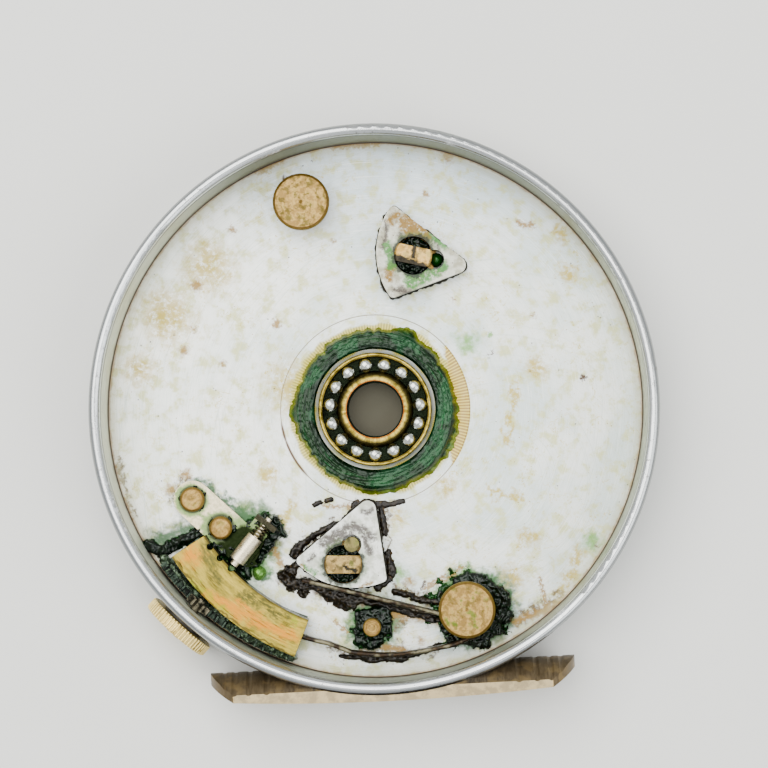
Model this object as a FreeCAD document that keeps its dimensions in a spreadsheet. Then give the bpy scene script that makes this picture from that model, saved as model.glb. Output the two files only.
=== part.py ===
"""Fly reel frame with its spindle bearing, check pawl, check spring, regulator and foot.

Millimetres. The origin is on the spindle axis, in the plane of the plate's inner floor. +Z leaves
the open side of the cup, and the foot is on the -Y side with its length along X.
"""
import FreeCAD, Part
import math
import os

import Sketcher

doc = FreeCAD.newDocument("fly_reel")
sheet = doc.addObject("Spreadsheet::Sheet", "Dims")

DIMENSIONS = {
    # frame: one turned cup
    "plate_t": 2.0,
    "rim_r": 50.8,
    "wall_r": 48.75,
    "cup_depth": 14.0,
    "bead_round": 1.02,
    "back_round": 1.2,
    "corner_round": 0.4,
    "boss_r": 14.0,
    "boss_rise": 1.2,
    "boss_slope": 0.8,
    "seat_mouth_r": 11.0,
    "seat_mouth_depth": 0.7,
    "drill_start": 46.0,
    "drill_len": 8.0,
    # bearing: cup race, cone race, balls and crown cage
    "bearing_r": 10.3,
    "bearing_drop": 1.0,
    "spindle_clear_r": 4.85,
    "outer_top": 2.4,
    "outer_land_r": 9.62,
    "outer_lip_r": 8.69,
    "inner_top": 2.9,
    "inner_drop": 0.8,
    "inner_land_r": 6.4,
    "inner_lip_r": 7.71,
    "inner_neck_r": 6.78,
    "inner_neck_top": 1.5,
    "bore_r": 5.16,
    "race_chamfer": 0.25,
    "ball_pitch_r": 8.2,
    "ball_r": 1.39,
    "ball_z": 0.95,
    "track_r": 1.42,
    "pocket_r": 1.43,
    "cage_tube_r": 1.34,
    "cage_top": 1.5,
    "cage_ring_in": 7.8,
    "cage_ring_out": 8.6,
    "cage_drop": 0.9,
    "cage_bottom": -0.4,
    "cage_ring_top": 0.25,
    # spring posts: riveted shank, slotted stem and button head
    "post_x": 14.7,
    "post_y": -36.9,
    "spare_post_x": -11.3,
    "spare_post_y": 38.0,
    "spare_post_turn": 174.9,
    "post_shank_r": 2.0,
    "post_stem_r": 4.3,
    "post_head_r": 5.1,
    "post_head_z": 5.2,
    "post_top": 7.0,
    "post_chamfer": 0.45,
    "lathe_mark_r": 0.35,
    "lathe_mark_depth": 0.25,
    "post_slot_bottom": 1.3,
    "post_slot_top": 4.8,
    "slot_lead_y": 1.4,
    "slot_bend_x": 1.2,
    "slot_bend_y": -1.55,
    "slot_end_x": 3.1,
    "slot_end_y": -2.4,
    "slot_low_x": 5.6,
    "slot_low_y": 7.1,
    # pawls: one blank, pierced nearer or further from its base
    "pawl_tip_y": 11.25,
    "pawl_left_x": 8.4,
    "pawl_left_y": 5.45,
    "pawl_right_x": 8.4,
    "pawl_right_y": 2.35,
    "pawl_base_r": 14.2,
    "pawl_tip_round": 1.5,
    "pawl_corner_round": 0.9,
    "pawl_z": 1.2,
    "pawl_t": 3.0,
    "pawl_hole_r": 3.48,
    "pawl_lobe_r": 1.8,
    "pawl_lobe_out": 3.9,
    "working_pierce": 2.7,
    "spare_pierce": 0.0,
    "pawl_x": -7.14,
    "pawl_y": -27.66,
    "pawl_turn": 64.2,
    "spare_pawl_x": 8.39,
    "spare_pawl_y": 27.38,
    "spare_pawl_turn": -14.1,
    # pawl studs: riveted shank, shoulder and double-D post
    "stud_shank_r": 1.8,
    "stud_shoulder_r": 4.2,
    "stud_shoulder_top": 1.15,
    "stud_r": 3.4,
    "stud_flats": 3.2,
    "stud_top": 5.2,
    "stud_turn": -3.0,
    "spare_stud_turn": -15.0,
    "stud_chamfer": 0.25,
    "limit_pin_r": 1.35,
    "limit_pin_top": 4.6,
    # stop pin
    "stop_x": -2.55,
    "stop_y": -39.3,
    "stop_r": 1.63,
    "stop_shank_r": 1.2,
    "stop_top": 5.0,
    "stop_chamfer": 0.2,
    "stop_ring_out": 1.03,
    "stop_ring_in": 0.6,
    "stop_ring_edge": 0.1,
    "stop_ring_depth": 0.15,
    # check spring: a folded leaf
    "leaf_t": 0.8,
    "leaf_z": 1.5,
    "leaf_w": 3.0,
    "leaf_end_x": -14.7,
    "leaf_contact_x": -8.53,
    "leaf_contact_y": -31.98,
    "leaf_fold_x": 15.43,
    "leaf_fold_r": 1.5,
    "leaf_slope": 16.7,
    "leaf_low_x": -0.61,
    "leaf_low_y": -44.27,
    "leaf_low_r": 14.0,
    "groove_r": 43.1,
    "leaf_join_angle": 256.0,
    "leaf_tip_angle": 244.0,
    # regulator slide and its rack
    "slide_centre_x": 2.02,
    "slide_centre_y": -1.63,
    "slide_in": 39.0,
    "slide_out": 46.06,
    "slide_start": 210.0,
    "slide_span": 36.0,
    "slide_z": 1.3,
    "slide_top": 6.0,
    "groove_half": 0.95,
    "groove_start": 205.0,
    "groove_span": 50.0,
    "groove_top": 4.7,
    "notch_r": 0.6,
    "notch_pitch_r": 38.65,
    "notch_angle": 224.9,
    "notch_step": 4.0,
    "rack_in": 39.5,
    "rack_band_in": 46.8,
    "rack_out": 48.1,
    "rack_start": 213.0,
    "rack_z": 0.1,
    "rack_root_z": 2.68,
    "rack_tip_z": 3.87,
    "rack_pitch_angle": 2.0,
    "rack_tooth_root": 0.8,
    "rack_tooth_tip": 0.3,
    "slot_half": 0.9,
    "slot_start": 214.6,
    "slot_span": 22.9,
    "guide_pin_r": 0.85,
    "guide_pin_top": 2.6,
    "slide_rivet_r": 0.9,
    "slide_rivet_ring": 40.9,
    "slide_rivet_top": 3.5,
    # regulator knob, shaft and pinion, along one radius
    "regulator_angle": 225.0,
    "regulator_z": 5.2,
    "pinion_in": 46.75,
    "pinion_len": 1.4,
    "pinion_core_r": 1.2,
    "pinion_tip_r": 2.36,
    "pinion_leaf_t": 0.45,
    "shaft_r": 0.85,
    "shaft_in": 46.3,
    "shaft_out": 53.2,
    "bush_hole_r": 0.9,
    "bush_r": 1.9,
    "bush_flange_r": 3.2,
    "bush_in": 48.9,
    "bush_seat": 50.45,
    "bush_out": 51.0,
    "washer_r": 4.2,
    "washer_in": 51.05,
    "washer_out": 51.55,
    "knob_in": 51.6,
    "knob_out": 53.8,
    "knob_r": 6.7,
    "knob_edge": 0.25,
    "knurl_r": 0.24,
    "screw_head_r": 1.7,
    "screw_head_t": 0.6,
    "screw_r": 0.5,
    "screw_in": 51.9,
    "screw_slot_w": 0.45,
    "screw_slot_d": 0.3,
    "screw_slot_clear": 1.0,
    # detent: bracket, rivets, plunger and its spring
    "rivet_a_x": -34.0,
    "rivet_a_y": -14.6,
    "rivet_a_r": 2.24,
    "rivet_b_x": -29.1,
    "rivet_b_y": -20.0,
    "rivet_b_r": 2.1,
    "rivet_head_t": 0.8,
    "rivet_edge_drop": 0.3,
    "rivet_edge_in": 0.35,
    "rivet_shank_r": 1.1,
    "bracket_half": 3.42,
    "bracket_t": 1.2,
    "plunger_x": -24.6,
    "plunger_y": -24.0,
    "plunger_turn": 229.0,
    "plunger_z": 3.0,
    "plunger_r": 1.5,
    "plunger_half": 2.7,
    "nose_r": 0.75,
    "nose_out": 3.7,
    "stem_r": 0.55,
    "stem_in": 6.9,
    "cradle_half_len": 1.3,
    "cradle_half_w": 2.0,
    "cradle_top": 2.4,
    "cradle_channel_r": 1.56,
    "lug_in": 5.4,
    "lug_out": 6.4,
    "lug_half_w": 2.2,
    "lug_top": 5.0,
    "lug_hole_r": 0.62,
    "coil_r": 1.05,
    "coil_wire_r": 0.2,
    "coil_turns": 3.0,
    "coil_gap": 0.05,
    # foot: arched saddle with ribbed ends, and its rivets
    "foot_x": 0.8,
    "foot_z": 6.0,
    "foot_half_w": 7.8,
    "foot_half_len": 32.7,
    "foot_end_r": 9.22,
    "foot_arch_r": 10.25,
    "foot_arch_y": -56.15,
    "seat_r": 12.7,
    "seat_crest_y": -49.2,
    "seat_bow_r": 409.0,
    "rib_groove_r": 1.0,
    "rib_groove_depth": 0.14,
    "foot_blank_low": 60.0,
    "foot_blank_rise": 20.0,
    "wall_mask_low": 10.0,
    "wall_mask_rise": 30.0,
    "foot_rivet_r": 1.2,
    "foot_rivet_angle": 22.0,
    "foot_rivet_rise": 3.5,
    "foot_rivet_in": 48.8,
    "foot_rivet_out": 53.0,
}
BALLS = 15
BALL_PHASE = 3.3
GUIDE_PIN_ANGLES = (224.0, 236.0)
SLIDE_RIVET_ANGLES = (217.0, 229.0, 242.0)
RACK_TEETH = 18
PINION_LEAVES = 7
KNURLS = 60
RIB_GROOVES = (22.4, 25.6, 28.2, 30.2)

for row, (alias, value) in enumerate(DIMENSIONS.items(), start=1):
    sheet.set("A%d" % row, alias)
    sheet.set("B%d" % row, str(value))
    sheet.setAlias("B%d" % row, alias)
doc.recompute()

ALONG_X = FreeCAD.Rotation(FreeCAD.Vector(0, 1, 0), 90)
nodes = []


# ---------------------------------------------------------------- reading and tying to the sheet

def size(terms):
    """The number that a sum of cells and plain numbers comes to, such as "rim_r - wall_r"."""
    total = 0.0
    sign = 1.0
    for word in str(terms).split():
        if word in ("+", "-"):
            sign = 1.0 if word == "+" else -1.0
        elif word in DIMENSIONS:
            total += sign * sheet.get(word)
        else:
            total += sign * float(word)
    return total


def formula(terms):
    """The same sum as an expression on the sheet."""
    return " ".join("Dims." + w if w in DIMENSIONS else w for w in str(terms).split())


def less(terms, taken):
    """What is left of one sum when another is taken from it."""
    flipped = {"+": "-", "-": "+"}
    return " ".join([terms, "-"] + [flipped.get(word, word) for word in taken.split()])


def tie(thing, **sizes):
    """Binds properties to sums of cells."""
    for name, terms in sizes.items():
        thing.setExpression(name, formula(terms))


def put(thing, x=0, y=0, z=0, turn=None):
    """Places a thing: its rotation is set, and its position is tied to the sheet."""
    thing.Placement = FreeCAD.Placement(FreeCAD.Vector(), turn or FreeCAD.Rotation())
    for letter, terms in zip("xyz", (x, y, z)):
        thing.setExpression("Placement.Base." + letter, formula(terms))
    return thing


def about_z(degrees):
    return FreeCAD.Rotation(FreeCAD.Vector(0, 0, 1), degrees)


def along_radius(thing, angle, z):
    """Lays a thing built along +Z on the radius at that angle, z above the floor."""
    return put(thing, z=z, turn=about_z(angle).multiply(ALONG_X))


def polar(radius, angle):
    """The expressions for x and y of a point at that radius and angle."""
    return ("%s * cos(%s deg)" % (formula(radius), angle), "%s * sin(%s deg)" % (formula(radius), angle))


def put_polar(thing, radius, angle, z):
    x, y = polar(radius, angle)
    thing.setExpression("Placement.Base.x", x)
    thing.setExpression("Placement.Base.y", y)
    thing.setExpression("Placement.Base.z", formula(z))
    return thing


# ---------------------------------------------------------------- solids and booleans

def cylinder(radius, height, x=0, y=0, z=0, turn=None, angle=360):
    made = doc.addObject("Part::Cylinder", "round")
    tie(made, Radius=radius, Height=height, Angle=angle)
    return put(made, x, y, z, turn)


def box(length, width, height, x=0, y=0, z=0):
    made = doc.addObject("Part::Box", "block")
    tie(made, Length=length, Width=width, Height=height)
    return put(made, x, y, z)


def torus(ring, tube, x=0, y=0, z=0, turn=None):
    made = doc.addObject("Part::Torus", "hoop")
    tie(made, Radius1=ring, Radius2=tube)
    return put(made, x, y, z, turn)


def fuse(*shapes):
    made = doc.addObject("Part::MultiFuse", "joined")
    made.Shapes = list(shapes)
    return made


def common(*shapes):
    made = doc.addObject("Part::MultiCommon", "shared")
    made.Shapes = list(shapes)
    return made


def cut(base, *tools):
    made = doc.addObject("Part::Cut", "trimmed")
    made.Base = base
    made.Tool = tools[0] if len(tools) == 1 else fuse(*tools)
    return made


def group(*shapes):
    made = doc.addObject("Part::Compound", "set")
    made.Links = list(shapes)
    return made


def tube(outer, inner, height, z=0, turn=None, angle=360):
    """A ring, or a sector of one when an angle is given."""
    return cut(
        cylinder(outer, height, z=z, turn=turn, angle=angle),
        cylinder(inner, height, z=z, turn=turn, angle=angle),
    )


def node(name, thing):
    """Names a finished sub-part."""
    thing.Label = name
    nodes.append(thing)
    return thing


# ---------------------------------------------------------------- sketched bodies

def new_sketch(body, role):
    sketch = body.newObject("Sketcher::SketchObject", "outline")
    plane = [f for f in body.Origin.OriginFeatures if f.Role == role][0]
    sketch.AttachmentSupport = [(plane, "")]
    sketch.MapMode = "FlatFace"
    return sketch


def tie_point(sketch, line, end, x, y):
    """Holds one end of a line at a place given by sums of cells."""
    for kind, axis, terms in (("DistanceX", -2, x), ("DistanceY", -1, y)):
        value = size(terms)
        if abs(value) < 1e-9:
            sketch.addConstraint(Sketcher.Constraint("PointOnObject", line, end, axis))
            continue
        ends = (-1, 1, line, end) if value > 0 else (line, end, -1, 1)
        index = sketch.addConstraint(Sketcher.Constraint(kind, *ends, abs(value)))
        text = formula(terms) if value > 0 else "-(%s)" % formula(terms)
        sketch.setExpression("Constraints[%d]" % index, text)


def polygon(sketch, corners):
    """Draws a closed outline whose corners are pairs of sums of cells."""
    spots = [FreeCAD.Vector(size(x), size(y), 0) for x, y in corners]
    count = len(spots)
    for i in range(count):
        sketch.addGeometry(Part.LineSegment(spots[i], spots[(i + 1) % count]))
    for i in range(count):
        sketch.addConstraint(Sketcher.Constraint("Coincident", i, 2, (i + 1) % count, 1))
    for i, (x, y) in enumerate(corners):
        tie_point(sketch, i, 1, x, y)


def turned(*corners):
    """A body turned about Z from an outline of (radius, height) corners."""
    body = doc.addObject("PartDesign::Body", "turned")
    sketch = new_sketch(body, "XZ_Plane")
    polygon(sketch, corners)
    spin = body.newObject("PartDesign::Revolution", "spin")
    spin.Profile = sketch
    spin.ReferenceAxis = (sketch, ["V_Axis"])
    spin.Angle = 360
    doc.recompute()
    return body


def round_edges(body, radius, wanted):
    """Rounds the edges of a body's tip that the test picks."""
    edges = body.Tip.Shape.Edges
    names = ["Edge%d" % (i + 1) for i, edge in enumerate(edges) if wanted(edge)]
    rounded = body.Tip
    rounding = body.newObject("PartDesign::Fillet", "rounding")
    rounding.Base = (rounded, names)
    tie(rounding, Radius=radius)
    doc.recompute()


def circle_at(radius, z):
    """A test for the circular edge of that radius at that height."""
    def wanted(edge):
        curve = edge.Curve
        is_circle = isinstance(curve, Part.Circle)
        return is_circle and abs(curve.Radius - size(radius)) < 1e-6 and abs(curve.Center.z - size(z)) < 1e-6
    return wanted


def upright_at(x, y):
    """A test for the upright edge that stands on that point."""
    def wanted(edge):
        first, last = edge.Vertexes[0].Point, edge.Vertexes[-1].Point
        near = math.hypot(first.x - size(x), first.y - size(y)) < 1e-6
        return near and math.hypot(first.x - last.x, first.y - last.y) < 1e-6
    return wanted


# ---------------------------------------------------------------- frame

def shank_holes():
    """The tools for every hole that a riveted shank fills in the plate."""
    through = "plate_t + boss_rise"
    floor = "0 - plate_t"
    spots = [
        ("post_shank_r", "post_x", "post_y"),
        ("post_shank_r", "spare_post_x", "spare_post_y"),
        ("stud_shank_r", "pawl_x", "pawl_y"),
        ("stud_shank_r", "spare_pawl_x", "spare_pawl_y"),
        ("stop_shank_r", "stop_x", "stop_y"),
        ("rivet_shank_r", "rivet_a_x", "rivet_a_y"),
        ("rivet_shank_r", "rivet_b_x", "rivet_b_y"),
    ]
    tools = [cylinder(radius, through, x, y, floor) for radius, x, y in spots]
    limit = put_limit_pin(cylinder("limit_pin_r", through), "0 - plate_t")
    guides = [put_polar(cylinder("guide_pin_r", through), "groove_r", a, floor) for a in GUIDE_PIN_ANGLES]
    return tools + [limit] + guides


def put_limit_pin(thing, z):
    """Places a thing where the limit pin stands, in the lobe of the working pawl's keyhole."""
    out = "(%s)" % formula("pawl_lobe_out")
    for letter, wave in (("x", "cos"), ("y", "sin")):
        text = "Dims.pawl_%s + %s * %s(Dims.pawl_turn * 1 deg)" % (letter, out, wave)
        thing.setExpression("Placement.Base." + letter, text)
    thing.setExpression("Placement.Base.z", formula(z))
    return thing


def rod_seat():
    """The space of the rod butt that the foot and the wall are hollowed to, bowed along its length."""
    bow_y = size("seat_crest_y") - size("seat_r") + size("seat_bow_r")
    made = torus("seat_bow_r", "seat_r", "foot_x", bow_y, "foot_z")
    made.setExpression("Placement.Base.y", "Dims.seat_crest_y - Dims.seat_r + Dims.seat_bow_r")
    return made


def foot_rivet_places():
    """The angle and height of each foot rivet."""
    swing = size("foot_rivet_angle")
    return [
        (270 + side * swing, "foot_z " + rise)
        for side in (-1, 1)
        for rise in ("+ foot_rivet_rise", "- foot_rivet_rise")
    ]


def back_frame():
    cup = turned(
        ("spindle_clear_r", "0 - plate_t"),
        ("rim_r", "0 - plate_t"),
        ("rim_r", "cup_depth"),
        ("wall_r", "cup_depth"),
        ("wall_r", "0"),
        ("boss_r + boss_slope", "0"),
        ("boss_r", "boss_rise"),
        ("seat_mouth_r", "boss_rise"),
        ("bearing_r", "boss_rise - seat_mouth_depth"),
        ("bearing_r", "0 - bearing_drop"),
        ("spindle_clear_r", "0 - bearing_drop"),
    )
    round_edges(cup, "bead_round", circle_at("rim_r", "cup_depth"))
    round_edges(cup, "bead_round", circle_at("wall_r", "cup_depth"))
    round_edges(cup, "back_round", circle_at("rim_r", "0 - plate_t"))
    round_edges(cup, "corner_round", circle_at("wall_r", "0"))
    angle = size("regulator_angle")
    bush_hole = along_radius(lifted(cylinder("bush_r", "drill_len"), "drill_start"), angle, "regulator_z")
    flange_seat = lifted(cylinder("bush_flange_r", "drill_len"), "bush_seat")
    flange_seat = along_radius(flange_seat, angle, "regulator_z")
    hollowed = cut(cup, rod_seat())
    node("back_frame", cut(hollowed, bush_hole, flange_seat, *foot_rivet_holes(), *shank_holes()))


def foot_rivet_holes():
    """The tools for the rivet holes through the foot and the wall."""
    return [
        along_radius(lifted(cylinder("foot_rivet_r", "drill_len"), "drill_start"), a, z)
        for a, z in foot_rivet_places()
    ]


def lifted(thing, z):
    """Moves a thing up its own axis before the group that holds it is placed."""
    put(thing, z=z)
    return group(thing)


# ---------------------------------------------------------------- bearing

def bearing():
    track = torus("ball_pitch_r", "track_r", z="ball_z")
    cup_race = turned(
        ("outer_lip_r", "0 - bearing_drop"),
        ("bearing_r", "0 - bearing_drop"),
        ("bearing_r", "outer_top - race_chamfer"),
        ("bearing_r - race_chamfer", "outer_top"),
        ("outer_land_r + race_chamfer", "outer_top"),
        ("outer_land_r", "outer_top - race_chamfer"),
        ("outer_land_r", "ball_z"),
        ("outer_lip_r", "ball_z"),
    )
    node("bearing_outer_race", cut(cup_race, track))
    cone_race = turned(
        ("bore_r", "0 - inner_drop"),
        ("inner_lip_r", "0 - inner_drop"),
        ("inner_lip_r", "ball_z"),
        ("inner_neck_r", "ball_z"),
        ("inner_land_r", "inner_neck_top"),
        ("inner_land_r", "inner_top - race_chamfer"),
        ("inner_land_r - race_chamfer", "inner_top"),
        ("bore_r", "inner_top"),
    )
    node("bearing_inner_race", cut(cone_race, torus("ball_pitch_r", "track_r", z="ball_z")))
    node("bearing_balls", group(*ball_ring("ball_r")))
    webs = common(
        torus("ball_pitch_r", "cage_tube_r", z="ball_z"),
        cylinder("bearing_r", "cage_top - cage_bottom", z="cage_bottom"),
    )
    ring = tube("cage_ring_out", "cage_ring_in", "cage_ring_top + cage_drop", z="0 - cage_drop")
    node("bearing_cage", cut(fuse(webs, ring), *ball_ring("pocket_r")))


def ball_ring(radius):
    """Spheres at the places of the balls."""
    made = []
    for i in range(BALLS):
        ball = doc.addObject("Part::Sphere", "ball")
        tie(ball, Radius=radius)
        made.append(put_polar(ball, "ball_pitch_r", BALL_PHASE + i * 360.0 / BALLS, "ball_z"))
    return made


# ---------------------------------------------------------------- posts, studs and pins

def spring_post(name, x, y, degrees):
    """A slotted post: the slot lets the folded leaf in from the left and grips its fold."""
    post = turned(
        ("0", "0 - plate_t"),
        ("post_shank_r", "0 - plate_t"),
        ("post_shank_r", "0"),
        ("post_stem_r", "0"),
        ("post_stem_r", "post_head_z"),
        ("post_head_r", "post_head_z"),
        ("post_head_r", "post_top - post_chamfer"),
        ("post_head_r - post_chamfer", "post_top"),
        ("lathe_mark_r", "post_top"),
        ("0", "post_top - lathe_mark_depth"),
    )
    slot = doc.addObject("PartDesign::Body", "slot")
    sketch = new_sketch(slot, "XY_Plane")
    polygon(sketch, (
        ("0 - post_head_r", "slot_lead_y"),
        ("slot_bend_x", "slot_bend_y"),
        ("slot_end_x", "slot_end_y"),
        ("slot_end_x", "0 - slot_low_x"),
        ("0 - post_head_r", "0 - slot_low_y"),
    ))
    depth = slot.newObject("PartDesign::Pad", "depth")
    depth.Profile = sketch
    tie(depth, Length="post_slot_top - post_slot_bottom")
    put(slot, z="post_slot_bottom")
    made = cut(post, slot)
    put(made, x, y, turn=about_z(degrees))
    node(name, made)


def pawl_stud(x, y, degrees):
    """A round shoulder riveted to the plate, with a double-D post that a pawl rocks on."""
    base = turned(
        ("0", "0 - plate_t"),
        ("stud_shank_r", "0 - plate_t"),
        ("stud_shank_r", "0"),
        ("stud_shoulder_r", "0"),
        ("stud_shoulder_r", "stud_shoulder_top"),
        ("stud_r", "stud_shoulder_top"),
        ("stud_r", "stud_top - stud_chamfer"),
        ("stud_r - stud_chamfer", "stud_top"),
        ("0", "stud_top"),
    )
    flats = [
        box("stud_r + stud_r", "stud_r", "stud_top", "0 - stud_r", side, "stud_shoulder_top")
        for side in ("0", "0 - stud_r")
    ]
    flats[0].setExpression("Placement.Base.y", "Dims.stud_flats / 2")
    flats[1].setExpression("Placement.Base.y", "-Dims.stud_flats / 2 - Dims.stud_r")
    made = cut(base, *flats)
    return put(made, x, y, turn=about_z(degrees))


def pins():
    stop = turned(
        ("0", "0 - plate_t"),
        ("stop_shank_r", "0 - plate_t"),
        ("stop_shank_r", "0"),
        ("stop_r", "0"),
        ("stop_r", "stop_top - stop_chamfer"),
        ("stop_r - stop_chamfer", "stop_top"),
        ("stop_ring_out", "stop_top"),
        ("stop_ring_out - stop_ring_edge", "stop_top - stop_ring_depth"),
        ("stop_ring_in", "stop_top - stop_ring_depth"),
        ("stop_ring_in - stop_ring_edge", "stop_top"),
        ("0", "stop_top"),
    )
    node("stop_pin", put(stop, "stop_x", "stop_y"))
    limit = cylinder("limit_pin_r", "limit_pin_top + plate_t")
    node("pawl_limit_pin", put_limit_pin(limit, "0 - plate_t"))
    guides = [
        put_polar(cylinder("guide_pin_r", "guide_pin_top + plate_t"), "groove_r", a, "0 - plate_t")
        for a in GUIDE_PIN_ANGLES
    ]
    node("slide_guide_pins", group(*guides))


# ---------------------------------------------------------------- pawls

def pawl(name, x, y, direction, pierce):
    """A three-cornered pawl with a bowed base. Its own +Y runs from the stud to the tip."""
    blank = doc.addObject("PartDesign::Body", "blank")
    sketch = new_sketch(blank, "XY_Plane")
    tip = FreeCAD.Vector(0, size("pawl_tip_y"), 0)
    left = FreeCAD.Vector(-size("pawl_left_x"), -size("pawl_left_y"), 0)
    right = FreeCAD.Vector(size("pawl_right_x"), -size("pawl_right_y"), 0)
    half = left.distanceToPoint(right) / 2
    radius = size("pawl_base_r")
    inward = (tip - (left + right) / 2).normalize()
    chord = (right - left).normalize()
    inward = (inward - chord * inward.dot(chord)).normalize()
    low = (left + right) / 2 - inward * (radius - math.sqrt(radius ** 2 - half ** 2))
    sketch.addGeometry(Part.LineSegment(left, tip))
    sketch.addGeometry(Part.LineSegment(tip, right))
    sketch.addGeometry(Part.Arc(left, low, right))
    for first, first_end, second, second_end in ((0, 2, 1, 1), (1, 2, 2, 2), (0, 1, 2, 1)):
        sketch.addConstraint(Sketcher.Constraint("Coincident", first, first_end, second, second_end))
    tie_point(sketch, 0, 1, "0 - pawl_left_x", "0 - pawl_left_y")
    tie_point(sketch, 0, 2, "0", "pawl_tip_y")
    tie_point(sketch, 1, 2, "pawl_right_x", "0 - pawl_right_y")
    bow = sketch.addConstraint(Sketcher.Constraint("Radius", 2, radius))
    sketch.setExpression("Constraints[%d]" % bow, "Dims.pawl_base_r")
    thickness = blank.newObject("PartDesign::Pad", "thickness")
    thickness.Profile = sketch
    tie(thickness, Length="pawl_t")
    doc.recompute()
    round_edges(blank, "pawl_tip_round", upright_at("0", "pawl_tip_y"))
    round_edges(blank, "pawl_corner_round", upright_at("0 - pawl_left_x", "0 - pawl_left_y"))
    round_edges(blank, "pawl_corner_round", upright_at("pawl_right_x", "0 - pawl_right_y"))
    shifted = group(put(blank, y=pierce))
    hole = cylinder("pawl_hole_r", "pawl_t")
    lobe = cylinder("pawl_lobe_r", "pawl_t", y="pawl_lobe_out")
    made = cut(shifted, hole, lobe)
    put(made, x, y, "pawl_z", about_z(direction - 90))
    node(name, made)


# ---------------------------------------------------------------- check spring

def check_spring():
    """A leaf folded back on itself. The upper leg bears on the pawl, the lower one on the slide."""
    slope = math.radians(size("leaf_slope"))
    contact = FreeCAD.Vector(size("leaf_contact_x"), size("leaf_contact_y"), 0)
    along = FreeCAD.Vector(math.cos(slope), -math.sin(slope), 0)

    def on_upper_leg(x):
        return contact + along * ((x - contact.x) / along.x)

    fold_r = size("leaf_fold_r")
    upper_end = on_upper_leg(size("leaf_end_x"))
    fold_top = on_upper_leg(size("leaf_fold_x"))
    fold = fold_top - FreeCAD.Vector(-along.y, along.x, 0) * fold_r
    low = FreeCAD.Vector(size("leaf_low_x"), size("leaf_low_y"), 0)
    reach = fold.distanceToPoint(low)
    bearing = math.atan2(low.y - fold.y, low.x - fold.x) + math.acos(fold_r / reach)
    fold_bottom = fold + FreeCAD.Vector(math.cos(bearing), math.sin(bearing), 0) * fold_r
    groove_r = size("groove_r")

    def on_groove(degrees):
        spot = math.radians(degrees)
        return FreeCAD.Vector(groove_r * math.cos(spot), groove_r * math.sin(spot), 0)

    join = on_groove(size("leaf_join_angle"))
    tip = on_groove(size("leaf_tip_angle"))
    middle = on_groove((size("leaf_join_angle") + size("leaf_tip_angle")) / 2)
    arriving = (low - fold_bottom).normalize()
    leaving = (join - low).normalize()
    half_turn = arriving.getAngle(leaving) / 2
    bend_r = size("leaf_low_r")
    bend_start = low - arriving * bend_r * math.tan(half_turn)
    bend_end = low + leaving * bend_r * math.tan(half_turn)
    inside = (leaving - arriving).normalize()
    bend_middle = low + inside * bend_r * (1 / math.cos(half_turn) - 1)
    far_side = fold + FreeCAD.Vector(fold_r, 0, 0)
    path = Part.Wire([
        Part.LineSegment(upper_end, fold_top).toShape(),
        Part.Arc(fold_top, far_side, fold_bottom).toShape(),
        Part.LineSegment(fold_bottom, bend_start).toShape(),
        Part.Arc(bend_start, bend_middle, bend_end).toShape(),
        Part.LineSegment(bend_end, join).toShape(),
        Part.Arc(join, middle, tip).toShape(),
    ])
    across = FreeCAD.Vector(-along.y, along.x, 0) * (size("leaf_t") / 2)
    rise = FreeCAD.Vector(0, 0, size("leaf_w"))
    corners = [upper_end - across, upper_end + across, upper_end + across + rise, upper_end - across + rise]
    section = Part.makePolygon(corners + corners[:1])
    leaf = doc.addObject("Part::Feature", "leaf")
    leaf.Shape = path.makePipeShell([section], True, False)
    leaf.Placement = FreeCAD.Placement(FreeCAD.Vector(0, 0, size("leaf_z")), FreeCAD.Rotation())
    node("check_spring", leaf)


# ---------------------------------------------------------------- regulator slide and rack

def sector(outer, inner, bottom, top, start, span):
    """A sector of a ring about the spindle axis."""
    return tube(outer, inner, less(top, bottom), z=bottom, turn=about_z(size(start)), angle=span)


def slide_rivet_set():
    height = "slide_rivet_top - rack_z"
    return [
        put_polar(cylinder("slide_rivet_r", height), "slide_rivet_ring", a, "rack_z")
        for a in SLIDE_RIVET_ANGLES
    ]


def regulator_slide():
    """A brass block, with a groove under it for the spring's tip and notches for the plunger."""
    turn = about_z(size("slide_start"))
    height = "slide_top - slide_z"
    sizes = {"x": "slide_centre_x", "y": "slide_centre_y", "z": "slide_z", "turn": turn}
    outer = cylinder("slide_out", height, angle="slide_span", **sizes)
    inner = cylinder("slide_in", height, **sizes)
    groove = sector("groove_r + groove_half", "groove_r - groove_half", "slide_z", "groove_top",
                    "groove_start", "groove_span")
    notches = [
        put_polar(cylinder("notch_r", height), "notch_pitch_r", size("notch_angle") - k * size("notch_step"),
                  "slide_z")
        for k in range(3)
    ]
    node("regulator_slide", cut(outer, inner, groove, *notches, *slide_rivet_set()))
    node("slide_rivets", group(*slide_rivet_set()))


def rack_tooth(angle):
    """One tapered tooth standing on the band, across it."""
    tooth = doc.addObject("Part::Wedge", "tooth")
    half_root, half_tip = "rack_tooth_root / 2", "rack_tooth_tip / 2"
    tie(tooth, Xmin="rack_band_in", Xmax="rack_out", X2min="rack_band_in", X2max="rack_out")
    tie(tooth, Ymin="rack_root_z", Ymax="rack_tip_z")
    for name, text in (("Zmin", half_root), ("Z2min", half_tip)):
        tooth.setExpression(name, "-Dims." + text)
        tooth.setExpression(name.replace("min", "max"), "Dims." + text)
    lying = FreeCAD.Rotation(FreeCAD.Vector(1, 0, 0), 90)
    tooth.Placement = FreeCAD.Placement(FreeCAD.Vector(), about_z(angle).multiply(lying))
    return tooth


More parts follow.
